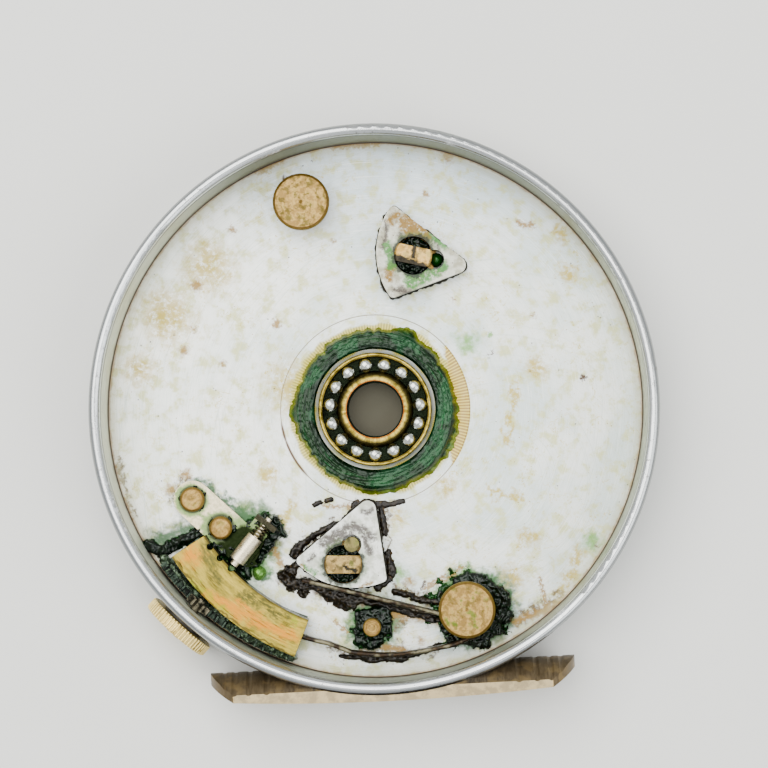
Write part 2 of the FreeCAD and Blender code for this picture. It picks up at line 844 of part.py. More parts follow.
def regulator_rack():
    strip = sector("rack_out", "rack_in", "rack_z", "slide_z", "rack_start", "slide_span")
    slot = sector("groove_r + slot_half", "groove_r - slot_half", "rack_z", "slide_z",
                  "slot_start", "slot_span")
    band = sector("rack_out", "rack_band_in", "slide_z", "rack_root_z", "rack_start", "slide_span")
    first = size("rack_start") + size("rack_pitch_angle") / 2
    teeth = [rack_tooth(first + i * size("rack_pitch_angle")) for i in range(RACK_TEETH)]
    trimmed = common(fuse(*teeth), tube("rack_out", "rack_band_in", "slide_top"))
    node("regulator_rack", cut(fuse(strip, band, trimmed), slot, *slide_rivet_set()))


# ---------------------------------------------------------------- regulator knob and shaft

def regulator_drive():
    """The knob and what turns with it, and the bush and washer that carry it in the wall."""
    angle = size("regulator_angle")

    def place(name, thing):
        node(name, along_radius(thing, angle, "regulator_z"))

    shaft_hole = cylinder("screw_r", "shaft_out - screw_in", z="screw_in")
    shaft = cut(cylinder("shaft_r", "shaft_out - shaft_in", z="shaft_in"), shaft_hole)
    place("regulator_shaft", shaft)
    core = cylinder("pinion_core_r", "pinion_len", z="pinion_in")
    leaves = []
    for i in range(PINION_LEAVES):
        leaf = box("pinion_tip_r", "pinion_leaf_t", "pinion_len")
        leaf.setExpression("Placement.Base.y", "-Dims.pinion_leaf_t / 2")
        turn = about_z(i * 360.0 / PINION_LEAVES)
        holder = group(leaf)
        leaves.append(put(holder, z="pinion_in", turn=turn))
    pinion = cut(fuse(core, *leaves), cylinder("shaft_r", "pinion_len", z="pinion_in"))
    place("regulator_pinion", pinion)
    disc = turned(
        ("0", "knob_in"),
        ("knob_r - knob_edge", "knob_in"),
        ("knob_r", "knob_in + knob_edge"),
        ("knob_r", "knob_out - knob_edge"),
        ("knob_r - knob_edge", "knob_out"),
        ("0", "knob_out"),
    )
    knurls = [
        put_polar(cylinder("knurl_r", "knob_out - knob_in"), "knob_r", i * 360.0 / KNURLS, "knob_in")
        for i in range(KNURLS)
    ]
    knob_hole = cylinder("shaft_r", "shaft_out - knob_in", z="knob_in")
    screw_hole = cylinder("screw_r", "knob_out - shaft_out", z="shaft_out")
    place("regulator_knob", cut(disc, knob_hole, screw_hole, *knurls))
    screw_head = cylinder("screw_head_r", "screw_head_t", z="knob_out")
    screw_shank = cylinder("screw_r", "knob_out - screw_in", z="screw_in")
    slot_floor = "knob_out + screw_head_t - screw_slot_d"
    slot = box("screw_head_r + screw_head_r", "screw_slot_w", "screw_slot_clear", "0 - screw_head_r",
               z=slot_floor)
    slot.setExpression("Placement.Base.y", "-Dims.screw_slot_w / 2")
    place("knob_screw", cut(fuse(screw_head, screw_shank), slot))
    bush_shank = cylinder("bush_r", "bush_seat - bush_in", z="bush_in")
    bush_flange = cylinder("bush_flange_r", "bush_out - bush_seat", z="bush_seat")
    bush_hole = cylinder("bush_hole_r", "bush_out - bush_in", z="bush_in")
    place("rim_bush", cut(fuse(bush_shank, bush_flange), bush_hole))
    place("knob_washer", tube("washer_r", "bush_hole_r", "washer_out - washer_in", z="washer_in"))


# ---------------------------------------------------------------- detent

def detent():
    """The spring plunger that clicks along the slide, and the bracket that holds it."""
    dx = size("plunger_x") - size("rivet_a_x")
    dy = size("plunger_y") - size("rivet_a_y")
    strip_turn = about_z(math.degrees(math.atan2(dy, dx)))
    length = doc.addObject("Part::Box", "strip")
    tie(length, Height="bracket_t", Width="bracket_half + bracket_half")
    reach = ["(Dims.plunger_%s - Dims.rivet_a_%s)^2" % (axis, axis) for axis in "xy"]
    length.setExpression("Length", "sqrt(%s + %s)" % tuple(reach))
    put(length, y="0 - bracket_half")
    strip = put(group(length), "rivet_a_x", "rivet_a_y", turn=strip_turn)
    near_end = cylinder("bracket_half", "bracket_t", "rivet_a_x", "rivet_a_y")
    far_end = cylinder("bracket_half", "bracket_t", "plunger_x", "plunger_y")

    def along_plunger(thing):
        """Places a thing built along +X, which is the way the nose points."""
        return put(group(thing), "plunger_x", "plunger_y", turn=about_z(size("plunger_turn")))

    def lying(radius, start, end):
        """A rod along the plunger's axis, between two distances from its middle."""
        return cylinder(radius, less(end, start), start, 0, "plunger_z", ALONG_X)

    def block(length, half_width, height, start):
        """A bar along the plunger's axis, centred on it."""
        return along_plunger(box(length, half_width + " + " + half_width, height, start, "0 - " + half_width))

    tab = block("lug_out", "lug_half_w", "bracket_t", "0 - lug_out")
    lug = block("lug_out - lug_in", "lug_half_w", "lug_top", "0 - lug_out")
    cradle = block("cradle_half_len + cradle_half_len", "cradle_half_w", "cradle_top", "0 - cradle_half_len")
    channel = along_plunger(lying("cradle_channel_r", "0 - plunger_half", "plunger_half"))
    lug_hole = along_plunger(lying("lug_hole_r", "0 - stem_in", "0 - plunger_half"))
    rivet_spots = (("rivet_a_x", "rivet_a_y", "rivet_a_r"), ("rivet_b_x", "rivet_b_y", "rivet_b_r"))
    rivet_holes = [cylinder("rivet_shank_r", "bracket_t", x, y) for x, y, _ in rivet_spots]
    plate = fuse(strip, near_end, far_end, tab, lug, cradle)
    node("detent_bracket", cut(plate, channel, lug_hole, *rivet_holes))
    rivets = []
    for x, y, head_r in rivet_spots:
        rivet = turned(
            ("0", "0 - plate_t"),
            ("rivet_shank_r", "0 - plate_t"),
            ("rivet_shank_r", "bracket_t"),
            (head_r, "bracket_t"),
            (head_r, "bracket_t + rivet_head_t - rivet_edge_drop"),
            (head_r + " - rivet_edge_in", "bracket_t + rivet_head_t"),
            ("0", "bracket_t + rivet_head_t"),
        )
        rivets.append(put(rivet, x, y))
    node("bracket_rivets", group(*rivets))
    barrel = lying("plunger_r", "0 - plunger_half", "plunger_half")
    nose = lying("nose_r", "plunger_half", "nose_out")
    stem = lying("stem_r", "0 - stem_in", "0 - plunger_half")
    node("detent_plunger", along_plunger(fuse(barrel, nose, stem)))
    detent_coil()


def detent_coil():
    """A few turns of wire between the lug and the plunger's barrel."""
    wire_r = size("coil_wire_r")
    end = -size("plunger_half") - wire_r - size("coil_gap")
    start = -size("lug_in") + wire_r + size("coil_gap")
    pitch = (end - start) / size("coil_turns")
    helix = Part.makeHelix(pitch, end - start, size("coil_r"))
    wire_start = FreeCAD.Vector(size("coil_r"), 0, 0)
    section = Part.Wire(Part.makeCircle(wire_r, wire_start, FreeCAD.Vector(0, 1, 0)))
    coil = doc.addObject("Part::Feature", "coil")
    coil.Shape = Part.Wire(helix).makePipeShell([section], True, True)
    turn = about_z(size("plunger_turn"))
    shift = turn.multVec(FreeCAD.Vector(start, 0, 0))
    middle = FreeCAD.Vector(size("plunger_x"), size("plunger_y"), size("plunger_z"))
    coil.Placement = FreeCAD.Placement(middle + shift, turn.multiply(ALONG_X))
    node("detent_spring", coil)


# ---------------------------------------------------------------- foot

def foot():
    """An arched saddle: convex above, hollowed to the rod below, nested against the wall."""
    arch = put(
        doc.addObject("Part::Cylinder", "arch"), "foot_x - foot_half_len", "foot_arch_y", "foot_z", ALONG_X
    )
    tie(arch, Radius="foot_arch_r", Height="foot_half_len + foot_half_len")
    straight = "foot_half_len - foot_end_r"
    plan = [
        box(straight + " + " + straight, "foot_blank_rise", "foot_half_w + foot_half_w",
            less("foot_x", straight), "0 - foot_blank_low", "foot_z - foot_half_w")
    ]
    upright = FreeCAD.Rotation(FreeCAD.Vector(1, 0, 0), -90)
    for side in ("+", "-"):
        end = cylinder("foot_end_r", "foot_blank_rise", "foot_x", "0 - foot_blank_low", "foot_z", upright)
        text = "Dims.foot_x %s (Dims.foot_half_len - Dims.foot_end_r)" % side
        end.setExpression("Placement.Base.x", text)
        plan.append(end)
    width = box("foot_half_len + foot_half_len", "foot_blank_rise", "foot_half_w + foot_half_w",
                "foot_x - foot_half_len", "0 - foot_blank_low", "foot_z - foot_half_w")
    grooves = [
        torus("foot_arch_r + rib_groove_r - rib_groove_depth", "rib_groove_r",
              "foot_x " + side + " " + str(place), "foot_arch_y", "foot_z", ALONG_X)
        for side in ("+", "-")
        for place in RIB_GROOVES
    ]
    wall = cylinder("rim_r", "wall_mask_rise", z="0 - wall_mask_low")
    saddle = common(arch, fuse(*plan), width)
    hollowed = cut(cut(saddle, rod_seat()), wall)
    node("foot", cut(hollowed, *grooves, *foot_rivet_holes()))
    rivet_length = less("foot_rivet_out", "foot_rivet_in")
    rivets = [
        along_radius(lifted(cylinder("foot_rivet_r", rivet_length), "foot_rivet_in"), a, z)
        for a, z in foot_rivet_places()
    ]
    node("foot_rivets", cut(group(*rivets), rod_seat()))


# ---------------------------------------------------------------- build and save

back_frame()
bearing()
spring_post("spring_post", "post_x", "post_y", 0)
spring_post("spare_spring_post", "spare_post_x", "spare_post_y", size("spare_post_turn"))
working_stud = pawl_stud("pawl_x", "pawl_y", size("stud_turn"))
pin_way = put_limit_pin(cylinder("limit_pin_r", "stud_shoulder_top"), "0")
node("pawl_stud", cut(working_stud, pin_way))
node("spare_pawl_stud", pawl_stud("spare_pawl_x", "spare_pawl_y", size("spare_stud_turn")))
pins()
pawl("check_pawl", "pawl_x", "pawl_y", size("pawl_turn"), "working_pierce")
pawl("spare_pawl", "spare_pawl_x", "spare_pawl_y", size("spare_pawl_turn"), "spare_pierce")
check_spring()
regulator_slide()
regulator_rack()
regulator_drive()
detent()
foot()
doc.recompute()

for thing in doc.Objects:
    if "Invalid" in thing.State or "Error" in thing.State:
        raise RuntimeError("%s is %s" % (thing.Label, thing.State))
for thing in nodes:
    if thing.Shape.isNull() or not thing.Shape.isValid() or not thing.Shape.Solids:
        raise RuntimeError("%s has no valid solid" % thing.Label)

os.makedirs("parts", exist_ok=True)
for thing in nodes:
    thing.Shape.exportStep("parts/%s.step" % thing.Label)
    print("%-22s %2d solid(s) %10.2f mm3" % (thing.Label, len(thing.Shape.Solids), thing.Shape.Volume))
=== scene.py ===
"""A worn fly reel frame lying on its back, seen straight down into the open cup.

Sizes in this file are millimetres in the row's frame until a mesh is made, which is in metres.
"""

import math

import bpy
from mathutils import Matrix, Vector, noise


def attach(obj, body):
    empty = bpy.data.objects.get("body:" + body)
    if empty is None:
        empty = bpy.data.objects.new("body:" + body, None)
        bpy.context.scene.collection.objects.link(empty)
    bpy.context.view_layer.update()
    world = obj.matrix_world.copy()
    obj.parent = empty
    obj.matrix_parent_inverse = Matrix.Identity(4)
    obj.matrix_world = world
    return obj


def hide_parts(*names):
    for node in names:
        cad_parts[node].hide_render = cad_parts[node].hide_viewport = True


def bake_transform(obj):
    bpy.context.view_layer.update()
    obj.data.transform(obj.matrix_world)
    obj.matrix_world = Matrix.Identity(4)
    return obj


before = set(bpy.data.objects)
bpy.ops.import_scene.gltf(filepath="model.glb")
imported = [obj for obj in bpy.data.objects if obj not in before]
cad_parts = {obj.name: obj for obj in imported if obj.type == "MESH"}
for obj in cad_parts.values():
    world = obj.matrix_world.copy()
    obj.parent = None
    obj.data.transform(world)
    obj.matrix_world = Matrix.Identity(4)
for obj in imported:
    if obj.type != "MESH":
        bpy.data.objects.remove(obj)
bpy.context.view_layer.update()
MM = 0.001
BOSS_R = 14
BOSS_TOP = 1.2
SPRING_POST = (14.7, -36.9)
SPARE_POST = (-11.3, 38)
STOP_PIN = (-2.55, -39.3)
OUTER_RIVET = (-34, -14.6)
INNER_RIVET = (-29.1, -20)
PAWL_STUD = (-7.14, -27.66)
SPARE_STUD = (8.39, 27.38)
SLIDE_CENTRE = (2.02, -1.63)
FOOT_MIDDLE_X = 0.8
PAPER_Z = -2.05
SHADE_Z = -2.03
RICHER = 1.45
DEEPER = 1.15


def tone(red, green, blue):
    """A colour from its everyday 0-255 values, a little richer and deeper than life."""
    def linear(value):
        value /= 255
        return value / 12.92 if value <= 0.04045 else ((value + 0.055) / 1.055) ** 2.4
    values = [linear(red), linear(green), linear(blue)]
    mean = sum(values) / 3
    return tuple(min(max(mean + (v - mean) * RICHER, 0), 1) ** DEEPER for v in values) + (1,)


def grey(value):
    """The same plain number in all channels."""
    return (value, value, value, 1)


# ---------------------------------------------------------------- node materials

class Look:
    """A node material in the making. Its coordinates are millimetres in the object's own frame."""

    def __init__(self, name):
        self.material = bpy.data.materials.new(name)
        self.material.use_nodes = True
        self.tree = self.material.node_tree
        self.shader = self.tree.nodes["Principled BSDF"]
        place = self.add("ShaderNodeTexCoord").outputs["Object"]
        self.at = self.stretch(place, 1 / MM)
        self.x, self.y, self.z = self.add("ShaderNodeSeparateXYZ", {0: self.at}).outputs
        self.flat = self.point(self.x, self.y)
        self.height = None

    def add(self, kind, inputs=None, **settings):
        node = self.tree.nodes.new(kind)
        for key, value in settings.items():
            setattr(node, key, value)
        for key, value in (inputs or {}).items():
            if isinstance(value, bpy.types.NodeSocket):
                self.tree.links.new(value, node.inputs[key])
            else:
                node.inputs[key].default_value = value
        return node

    def calc(self, operation, *values):
        return self.add("ShaderNodeMath", dict(enumerate(values)), operation=operation).outputs[0]

    def times(self, first, second):
        return self.calc("MULTIPLY", first, second)

    def plus(self, first, second):
        return self.calc("ADD", first, second)

    def minus(self, first, second):
        return self.calc("SUBTRACT", first, second)

    def absolute(self, value):
        return self.calc("ABSOLUTE", value)

    def vector(self, operation, first, second, output=0):
        return self.add("ShaderNodeVectorMath", {0: first, 1: second}, operation=operation).outputs[output]

    def stretch(self, vector, scale):
        return self.add("ShaderNodeVectorMath", {0: vector, "Scale": scale}, operation="SCALE").outputs[0]

    def mapped(self, **settings):
        """The coordinates moved, turned or stretched."""
        inputs = {0: self.at, **settings}
        return self.add("ShaderNodeMapping", inputs).outputs[0]

    def distance(self, at, x, y):
        return self.vector("DISTANCE", at, (x, y, 0), "Value")

    def facing(self):
        """The way the surface faces, as x, y and z."""
        return self.add("ShaderNodeSeparateXYZ",
            {0: self.add("ShaderNodeNewGeometry").outputs["Normal"]}).outputs

    def shaded_sides(self, base, colour, strength):
        """Darkens the upright faces."""
        return self.lay(base, self.fade(self.facing()[2], 0.6, 0.3), colour, strength)

    def point(self, x, y, z=0):
        return self.add("ShaderNodeCombineXYZ", {0: x, 1: y, 2: z}).outputs[0]

    def radius(self):
        return self.add("ShaderNodeVectorMath", {0: self.flat}, operation="LENGTH").outputs["Value"]

    def around(self, radial, angular):
        """Polar coordinates: marks made with them run round the spindle axis."""
        angle = self.calc("ARCTAN2", self.y, self.x)
        return self.point(self.times(self.radius(), radial), self.times(angle, angular), self.z)

    def cloud(self, scale, detail=3, at=None, rough=0.55):
        inputs = {"Vector": at or self.at, "Scale": scale, "Detail": detail, "Roughness": rough}
        return self.add("ShaderNodeTexNoise", inputs).outputs["Fac"]

    def cells(self, scale, at=None, feature="F1"):
        inputs = {"Vector": at or self.at, "Scale": scale}
        return self.add("ShaderNodeTexVoronoi", inputs, feature=feature).outputs["Distance"]

    def fade(self, value, low, high, to_low=0, to_high=1):
        """to_low where the value is at low, to_high where it is at high, and smooth between."""
        inputs = {"Value": value, "From Min": low, "From Max": high, "To Min": to_low, "To Max": to_high}
        return self.add("ShaderNodeMapRange", inputs, interpolation_type="SMOOTHSTEP").outputs[0]

    def patches(self, low, high, *cloud, **settings):
        """A cloud with its middle faded out, which leaves separate patches."""
        return self.fade(self.cloud(*cloud, **settings), low, high)

    def band(self, value, low, high, soft):
        """1 between two values, with soft ends."""
        rise = self.fade(value, low - soft, low + soft)
        return self.times(rise, self.fade(value, high + soft, high - soft))

    def mix(self, factor, first, second):
        """Mixes sockets, plain values of four numbers, or everyday colours of three."""
        first, second = (tone(*c) if isinstance(c, tuple) and len(c) == 3 else c for c in (first, second))
        return self.add("ShaderNodeMix", {0: factor, 6: first, 7: second}, data_type="RGBA").outputs[2]

    def lay(self, base, factor, colour, strength=1):
        """Lays a colour over a base where the factor is 1."""
        amount = factor if strength == 1 else self.times(factor, strength)
        return self.mix(amount, base, colour)

    def layers(self, base, rows):
        """Lays one colour after another, from rows of a factor, a colour and a strength."""
        for row in rows:
            base = self.lay(base, *row)
        return base

    def union(self, masks):
        total = masks[0]
        for mask in masks[1:]:
            total = self.calc("MAXIMUM", total, mask)
        return total

    def ragged(self, scale, reach):
        """The place on the floor plan, pushed about by noise, so that marks get uneven edges."""
        inputs = {"Vector": self.at, "Scale": scale, "Detail": 3, "Roughness": 0.65}
        push = self.add("ShaderNodeTexNoise", inputs).outputs["Color"]
        centred = self.vector("SUBTRACT", push, (0.5, 0.5, 0.5))
        moved = self.vector("ADD", self.flat, self.stretch(centred, reach))
        return self.vector("MULTIPLY", moved, (1, 1, 0))

    def spot(self, at, x, y, reach, soft=0.5):
        return self.fade(self.distance(at, x, y), reach + soft, max(reach - soft, 0))

    def streak(self, at, x0, y0, x1, y1, half, soft=0.3):
        """A stroke from one point to another."""
        run = Vector((x1 - x0, y1 - y0, 0))
        from_start = self.vector("SUBTRACT", at, (x0, y0, 0))
        share = self.vector("DOT_PRODUCT", from_start, run / run.length_squared, "Value")
        share = self.add("ShaderNodeClamp", {0: share, 1: 0, 2: 1}).outputs[0]
        away = self.vector("DISTANCE", from_start, self.stretch(tuple(run), share), "Value")
        return self.fade(away, half + soft, max(half - soft, 0))

    def marks(self, at, rows):
        """Stains joined into one mask: a row of four numbers is a spot and a row of six is a streak."""
        return self.union([(self.spot if len(row) == 4 else self.streak)(at, *row) for row in rows])

    def bump(self, height, depth):
        """Adds relief. The height is 0 to 1 and the depth is in millimetres."""
        inputs = {"Height": height, "Distance": depth * MM, "Strength": 1}
        if self.height:
            inputs["Normal"] = self.height
        self.height = self.add("ShaderNodeBump", inputs).outputs[0]

    def done(self, colour, roughness, metallic=0, **constants):
        for name, value in (("Base Color", colour), ("Roughness", roughness), ("Metallic", metallic)):
            if isinstance(value, bpy.types.NodeSocket):
                self.tree.links.new(value, self.shader.inputs[name])
            else:
                self.shader.inputs[name].default_value = value
        for name, value in constants.items():
            self.shader.inputs[name.replace("_", " ")].default_value = value
        if self.height:
            self.tree.links.new(self.height, self.shader.inputs["Normal"])
        return self.material


def alloy_look():
    """The turned cup: a milky oxidised plate, a grimy wall and a bright bead, with painted shade under the
    bead, on its outer edge and in the groove round the bearing.
    """
    look = Look("alloy")
    radius = look.radius()
    rag = look.ragged(0.5, 7)
    fine_rag = look.ragged(1.5, 2.6)
    patches = look.cloud(0.06, 2)
    mottle = look.cloud(0.35, 4, rough=0.65)
    brush = look.cloud(1, 3, at=look.around(5, 4), rough=0.7)
    swirl_at = look.mapped(Location=(-22, 14, 0))
    swirl_len = look.add("ShaderNodeVectorMath", {0: swirl_at}, operation="LENGTH").outputs["Value"]
    swirl = look.cloud(1, 2, at=look.point(look.times(swirl_len, 3.5), patches), rough=0.7)

    plate = look.mix(look.fade(patches, 0.40, 0.62), (238, 240, 236), (216, 223, 221))
    plate = look.layers(plate, [
        (look.fade(look.y, 22, 44), (204, 214, 220), 0.7),
        (look.fade(look.plus(look.x, look.times(patches, 30)), 14, -14), (253, 253, 248), 0.6),
        (look.fade(mottle, 0.48, 0.66), (208, 208, 160), 0.75),
    ])
    wisps = look.times(look.patches(0.55, 0.68, 0.9, 4, at=rag, rough=0.7),
                      look.patches(0.42, 0.6, 0.09, 1))
    plate = look.layers(plate, [
        (wisps, (190, 176, 84), 0.8),
        (look.fade(brush, 0.54, 0.68), (250, 250, 246), 0.6),
        (look.fade(brush, 0.46, 0.34), (198, 206, 200), 0.45),
        (look.fade(swirl, 0.56, 0.70), (196, 204, 198), 0.45),
    ])

    yellow = look.marks(rag, [
        (-37, 19, 4.2, 3), (-29, 27.5, 4, 3.2), (-42.5, 9.5, 2.4, 2), (35.6, 30, 1.3, 1),
        (36.6, 23, 1.5, 1.1), (29.4, 6, 1.8, 1.5), (26.6, -25, 1.6, 1.2), (23.5, -32, 2, 1.8),
        (20, -15.5, 26, -18, 0.5, 0.5), (25.9, 3.5, 23.7, -7.5, 0.5, 0.7), (31, -37, 35.5, -28, 0.9, 0.9),
        (-20, -11, 1.6, 1.6), (12, -14.5, 1.6, 1.4), (-15, 5, 4, 4), (-16, -16.5, -21, -25, 0.7, 0.9),
        (3, -20, 1.2, 1.2),
    ])
    worn_through = look.patches(0.36, 0.54, 0.8, 5, rough=0.75)
    yellow = look.times(yellow, worn_through)
    plate = look.lay(plate, yellow, (186, 168, 62), 0.85)
    green_tint = look.marks(rag, [
        (17.6, 11.4, 1.7, 1.5), (-28.5, -26.5, 5.5, 4), (-24.5, -20, 3.6, 2.4), (-2.5, -38.5, 4.4, 2.4),
        (15.5, -36, 6.2, 1.6), (38.3, -26.4, 1.6, 1.6), (2.5, -30, 1.4, 1.4),
        (14.8, -31, 14.4, -29.2, 0.25, 0.3), (-22.3, -27, 2.2, 1.6),
    ])
    green_tint = look.union([green_tint, look.marks(fine_rag, [(21.5, 12.4, 0.55, 0.4)])])
    plate = look.lay(plate, green_tint, (112, 156, 54), 0.85)
    deep_green = look.marks(rag, [
        (-24, -21.5, 5.6, 2), (-41, -21.6, -32.5, -19.8, 1.6, 1.8), (-33, -11.2, -24.6, -18.2, 0.7, 1),
        (-2.6, -39.2, 4.6, 1.6), (13, -31.2, 18, -31.2, 1.2, 1.2), (16.6, -37.2, 7.2, 1.4),
        (-22, -28.8, -24.6, -27.8, 1.4, 1.2), (-6, -36, 1, -36.2, 0.8, 1),
    ])
    plate = look.lay(plate, deep_green, (30, 84, 20), 0.95)
    soot = look.marks(rag, [
        (-18.4, -29.8, -12, -31.6, 0.9, 0.9), (-12, -32.2, 8.6, -37.8, 1, 1.1),
        (-10, -43.6, 8, -44.6, 0.5, 0.7), (1.6, -32.6, 9.6, -35.2, 0.5, 0.6),
        (-15.6, -24.8, -9, -20.6, 0.4, 0.6), (-5, -17.4, 2, -17.4, 0.5, 0.5),
        (0.8, -19, 1.2, -30, 0.3, 0.5), (-37.6, -14.2, -35, -10.8, 0.7, 0.8),
        (31.6, -35.6, 24, -39.6, 0.7, 0.9), (2, -36.6, 2.6, -40, 0.5, 0.7),
        (-5.6, -43, 1.6, -43.2, 0.5, 0.8), (-47.4, -6, -45, -19, 0.4, 0.7),
    ])
    plate = look.lay(plate, look.times(soot, worn_through), (92, 74, 26), 0.95)
    rust = look.marks(fine_rag, [
        (-17.1, 16.5, 0.75, 0.45), (-24.3, 34.1, 0.6, 0.5), (-31.4, 24.3, 0.9, 0.6),
        (-32.3, 16.5, 0.45, 0.5), (-34.3, 12.6, 0.8, 0.7), (-27.3, 9.8, 0.55, 0.5), (-6.1, 30.9, 0.35, 0.4),
        (11.2, 38.7, 0.4, 0.4), (27.8, 32.6, 30.2, 32, 0.5, 0.5), (29.6, 15.6, 0.4, 0.4),
        (15.3, 19.3, 0.4, 0.4), (-19, 44.4, -14.5, 46.2, 0.4, 0.5), (-5, 48.1, 3, 48.2, 0.3, 0.4),
        (15.6, 45.4, 0.9, 0.8), (28.3, -32.4, 29.2, -37.2, 0.25, 0.3), (31, -37.2, 23.5, -39.9, 0.7, 0.6),
        (7.2, -33, 10.8, -31.9, 0.2, 0.3), (10.8, -31.9, 14.4, -29.4, 0.2, 0.3),
        (1, -37.2, 9.5, -38.8, 0.7, 0.8), (6.1, -42.4, 0.5, 0.6), (-0.8, -43.2, 3, -43.9, 0.35, 0.5),
        (-18.5, -27.5, -19.8, -24, 0.4, 0.5), (-37.9, -12.6, 0.9, 0.8), (-35, -10, 0.8, 0.7),
        (-10.5, -17, -4.5, -17.4, 0.25, 0.4), (4.6, -31.6, 0.8, 0.8), (-9.5, -38, -7.2, -40.2, 0.25, 0.3),
        (11, -30.8, 8, -32.4, 0.25, 0.3),
    ])
    plate = look.lay(plate, rust, (150, 122, 36), 0.9)
    dark_rust = look.marks(fine_rag, [
        (7.3, -31.6, 6.7, -33.4, 0.15, 0.2), (38.2, 3.8, 0.45, 0.2), (-11.3, -16.6, 0.45, 0.25),
        (-9.3, -16.1, 0.35, 0.25), (31, -37.6, 0.5, 0.3), (-14.3, 42.9, 0.4, 0.3), (-9.2, 46, 0.15, 0.1),
        (38.9, -26.9, 0.4, 0.4), (14.8, -12.5, 0.15, 0.08), (16.7, 1.5, 0.2, 0.15), (-36, 15.6, 0.15, 0.1),
        (22, 9.3, 21, 8.6, 0.1, 0.1),
    ])
    plate = look.lay(plate, dark_rust, (76, 52, 26), 1)
    pits = look.fade(look.cells(0.5), 0.075, 0.045)
    pits = look.times(pits, look.patches(0.46, 0.56, 0.12, 2))
    plate = look.lay(plate, pits, (70, 66, 56), 0.8)
    freckles = look.times(look.fade(look.cells(0.9), 0.11, 0.06), look.patches(0.52, 0.6, 0.1, 2))
    plate = look.lay(plate, freckles, (146, 120, 34), 0.9)

    scribed = look.band(radius, 17.17, 17.27, 0.05)
    plate = look.lay(plate, scribed, (168, 146, 108), 0.75)
    arc_zone = look.marks(look.flat, [(-15.4, -8.2, 3.6, 1.2), (-17, -3.4, 1.6, 1)])
    plate = look.lay(plate, look.times(arc_zone, look.band(radius, 17, 17.45, 0.12)), (98, 72, 52), 0.9)

    spokes = look.calc("SINE", look.times(look.calc("ARCTAN2", look.y, look.x), 190))
    ring_edge = look.plus(radius, look.times(look.cloud(0.25, 2), 2.2))
    fringe = look.band(ring_edge, 12, 16.7, 0.35)
    fringe_tone = look.mix(look.fade(spokes, -0.4, 0.8), (160, 150, 72), (208, 200, 128))
    plate = look.lay(plate, fringe, fringe_tone, 0.9)
    wavy_x = look.plus(look.x, look.times(look.cloud(0.5, 3), 3))
    crescent = look.times(look.band(radius, 12, 17.35, 0.12), look.fade(wavy_x, 14.4, 15.2))
    crescent_tone = look.mix(look.fade(spokes, -0.2, 0.7), (158, 132, 66), (212, 196, 128))
    plate = look.lay(plate, crescent, crescent_tone, 0.92)

    corner_noise = look.cloud(0.5, 4, rough=0.7)
    corner_r = look.plus(radius, look.times(look.minus(corner_noise, 0.5), 1))
    plate = look.layers(plate, [
        (look.fade(corner_r, 46.4, 48.3), (182, 178, 150), 0.5),
        (look.fade(corner_r, 48.1, 48.45), (130, 98, 44), 0.6),
        (look.fade(radius, 48.4, 48.6), (48, 36, 26), 0.9),
    ])

    streaks = look.cloud(1, 4, at=look.around(0.5, 22), rough=0.7)
    wall = look.mix(look.fade(streaks, 0.36, 0.66), (150, 154, 138), (216, 218, 204))
    wall = look.layers(wall, [
        (look.fade(look.y, 10, -40), (120, 128, 122), 0.4),
        (look.fade(look.y, 16, 44), (92, 94, 74), 0.7),
    ])
    drips = look.patches(0.56, 0.66, 1, 3, at=look.around(0.3, 60), rough=0.75)
    wall = look.lay(wall, drips, (96, 86, 62), 0.55)
    left = look.times(look.fade(look.x, -43, -47), look.patches(0.42, 0.55, 0.22, 3))
    wall = look.layers(wall, [
        (left, (150, 130, 70), 0.25),
        (look.fade(look.x, -20, -42), (238, 240, 228), 0.45),
        (look.fade(look.z, 1.6, 0.4), (74, 58, 42), 0.8),
        # Near black just under the bead: dirt, and painted shade under the bead's edge.
        (look.fade(look.z, 11.4, 12.6), (34, 32, 28), 0.9),
    ])

    bare = look.mix(look.patches(0.4, 0.65, 1, 3, at=look.around(8, 3)),
                    (194, 196, 196), (216, 217, 217))
    scuffs = look.patches(0.60, 0.68, 0.8, 4, rough=0.75)
    bare = look.layers(bare, [
        # Painted shade: the outer edge of the bead is darker, as it turns away from the light.
        (look.fade(radius, 49.9, 50.3), (136, 138, 138), 0.7),
        (scuffs, (120, 118, 114), 0.6),
    ])
    nicks = look.fade(look.cells(1.3), 0.10, 0.05)
    bare = look.lay(bare, nicks, (80, 76, 72), 0.6)

    on_boss = look.times(look.fade(look.z, -0.2, 0), look.fade(radius, 16, 15))
    on_floor = look.times(look.band(look.z, -0.05, 0.25, 0.06), look.fade(radius, 49, 48.8))
    inside = look.union([on_boss, on_floor])
    on_wall = look.times(look.band(look.z, 0.3, 13.05, 0.1), look.band(radius, 48.3, 48.95, 0.08))
    colour = look.mix(inside, look.mix(on_wall, bare, wall), plate)
    # Painted shade: the groove round the bearing, below the plate, near black.
    colour = look.lay(colour, look.times(look.fade(radius, 11.6, 11), look.fade(look.z, -0.3, -0.5)),
        (14, 20, 12))

    bare_rough, wall_rough = look.fade(scuffs, 0, 1, 0.24, 0.42), look.fade(streaks, 0.3, 0.7, 0.38, 0.6)
    rough = look.mix(inside, look.mix(on_wall, bare_rough, wall_rough),
        look.fade(mottle, 0.3, 0.7, 0.36, 0.56))
    stained = look.union([yellow, rust, dark_rust, fringe, crescent, green_tint, deep_green, soot])
    metal = look.mix(inside, look.mix(on_wall, grey(0.95), grey(0.45)), grey(0.32))
    metal = look.lay(metal, stained, grey(0.05), 0.8)
    look.bump(brush, 0.020)
    look.bump(look.times(look.cloud(2.2, 5, rough=0.7), look.fade(look.z, 13, 1)), 0.030)
    look.bump(look.minus(1, look.union([pits, nicks])), 0.05)
    look.bump(look.minus(1, scribed), 0.08)
    return look.done(colour, rough, metal)


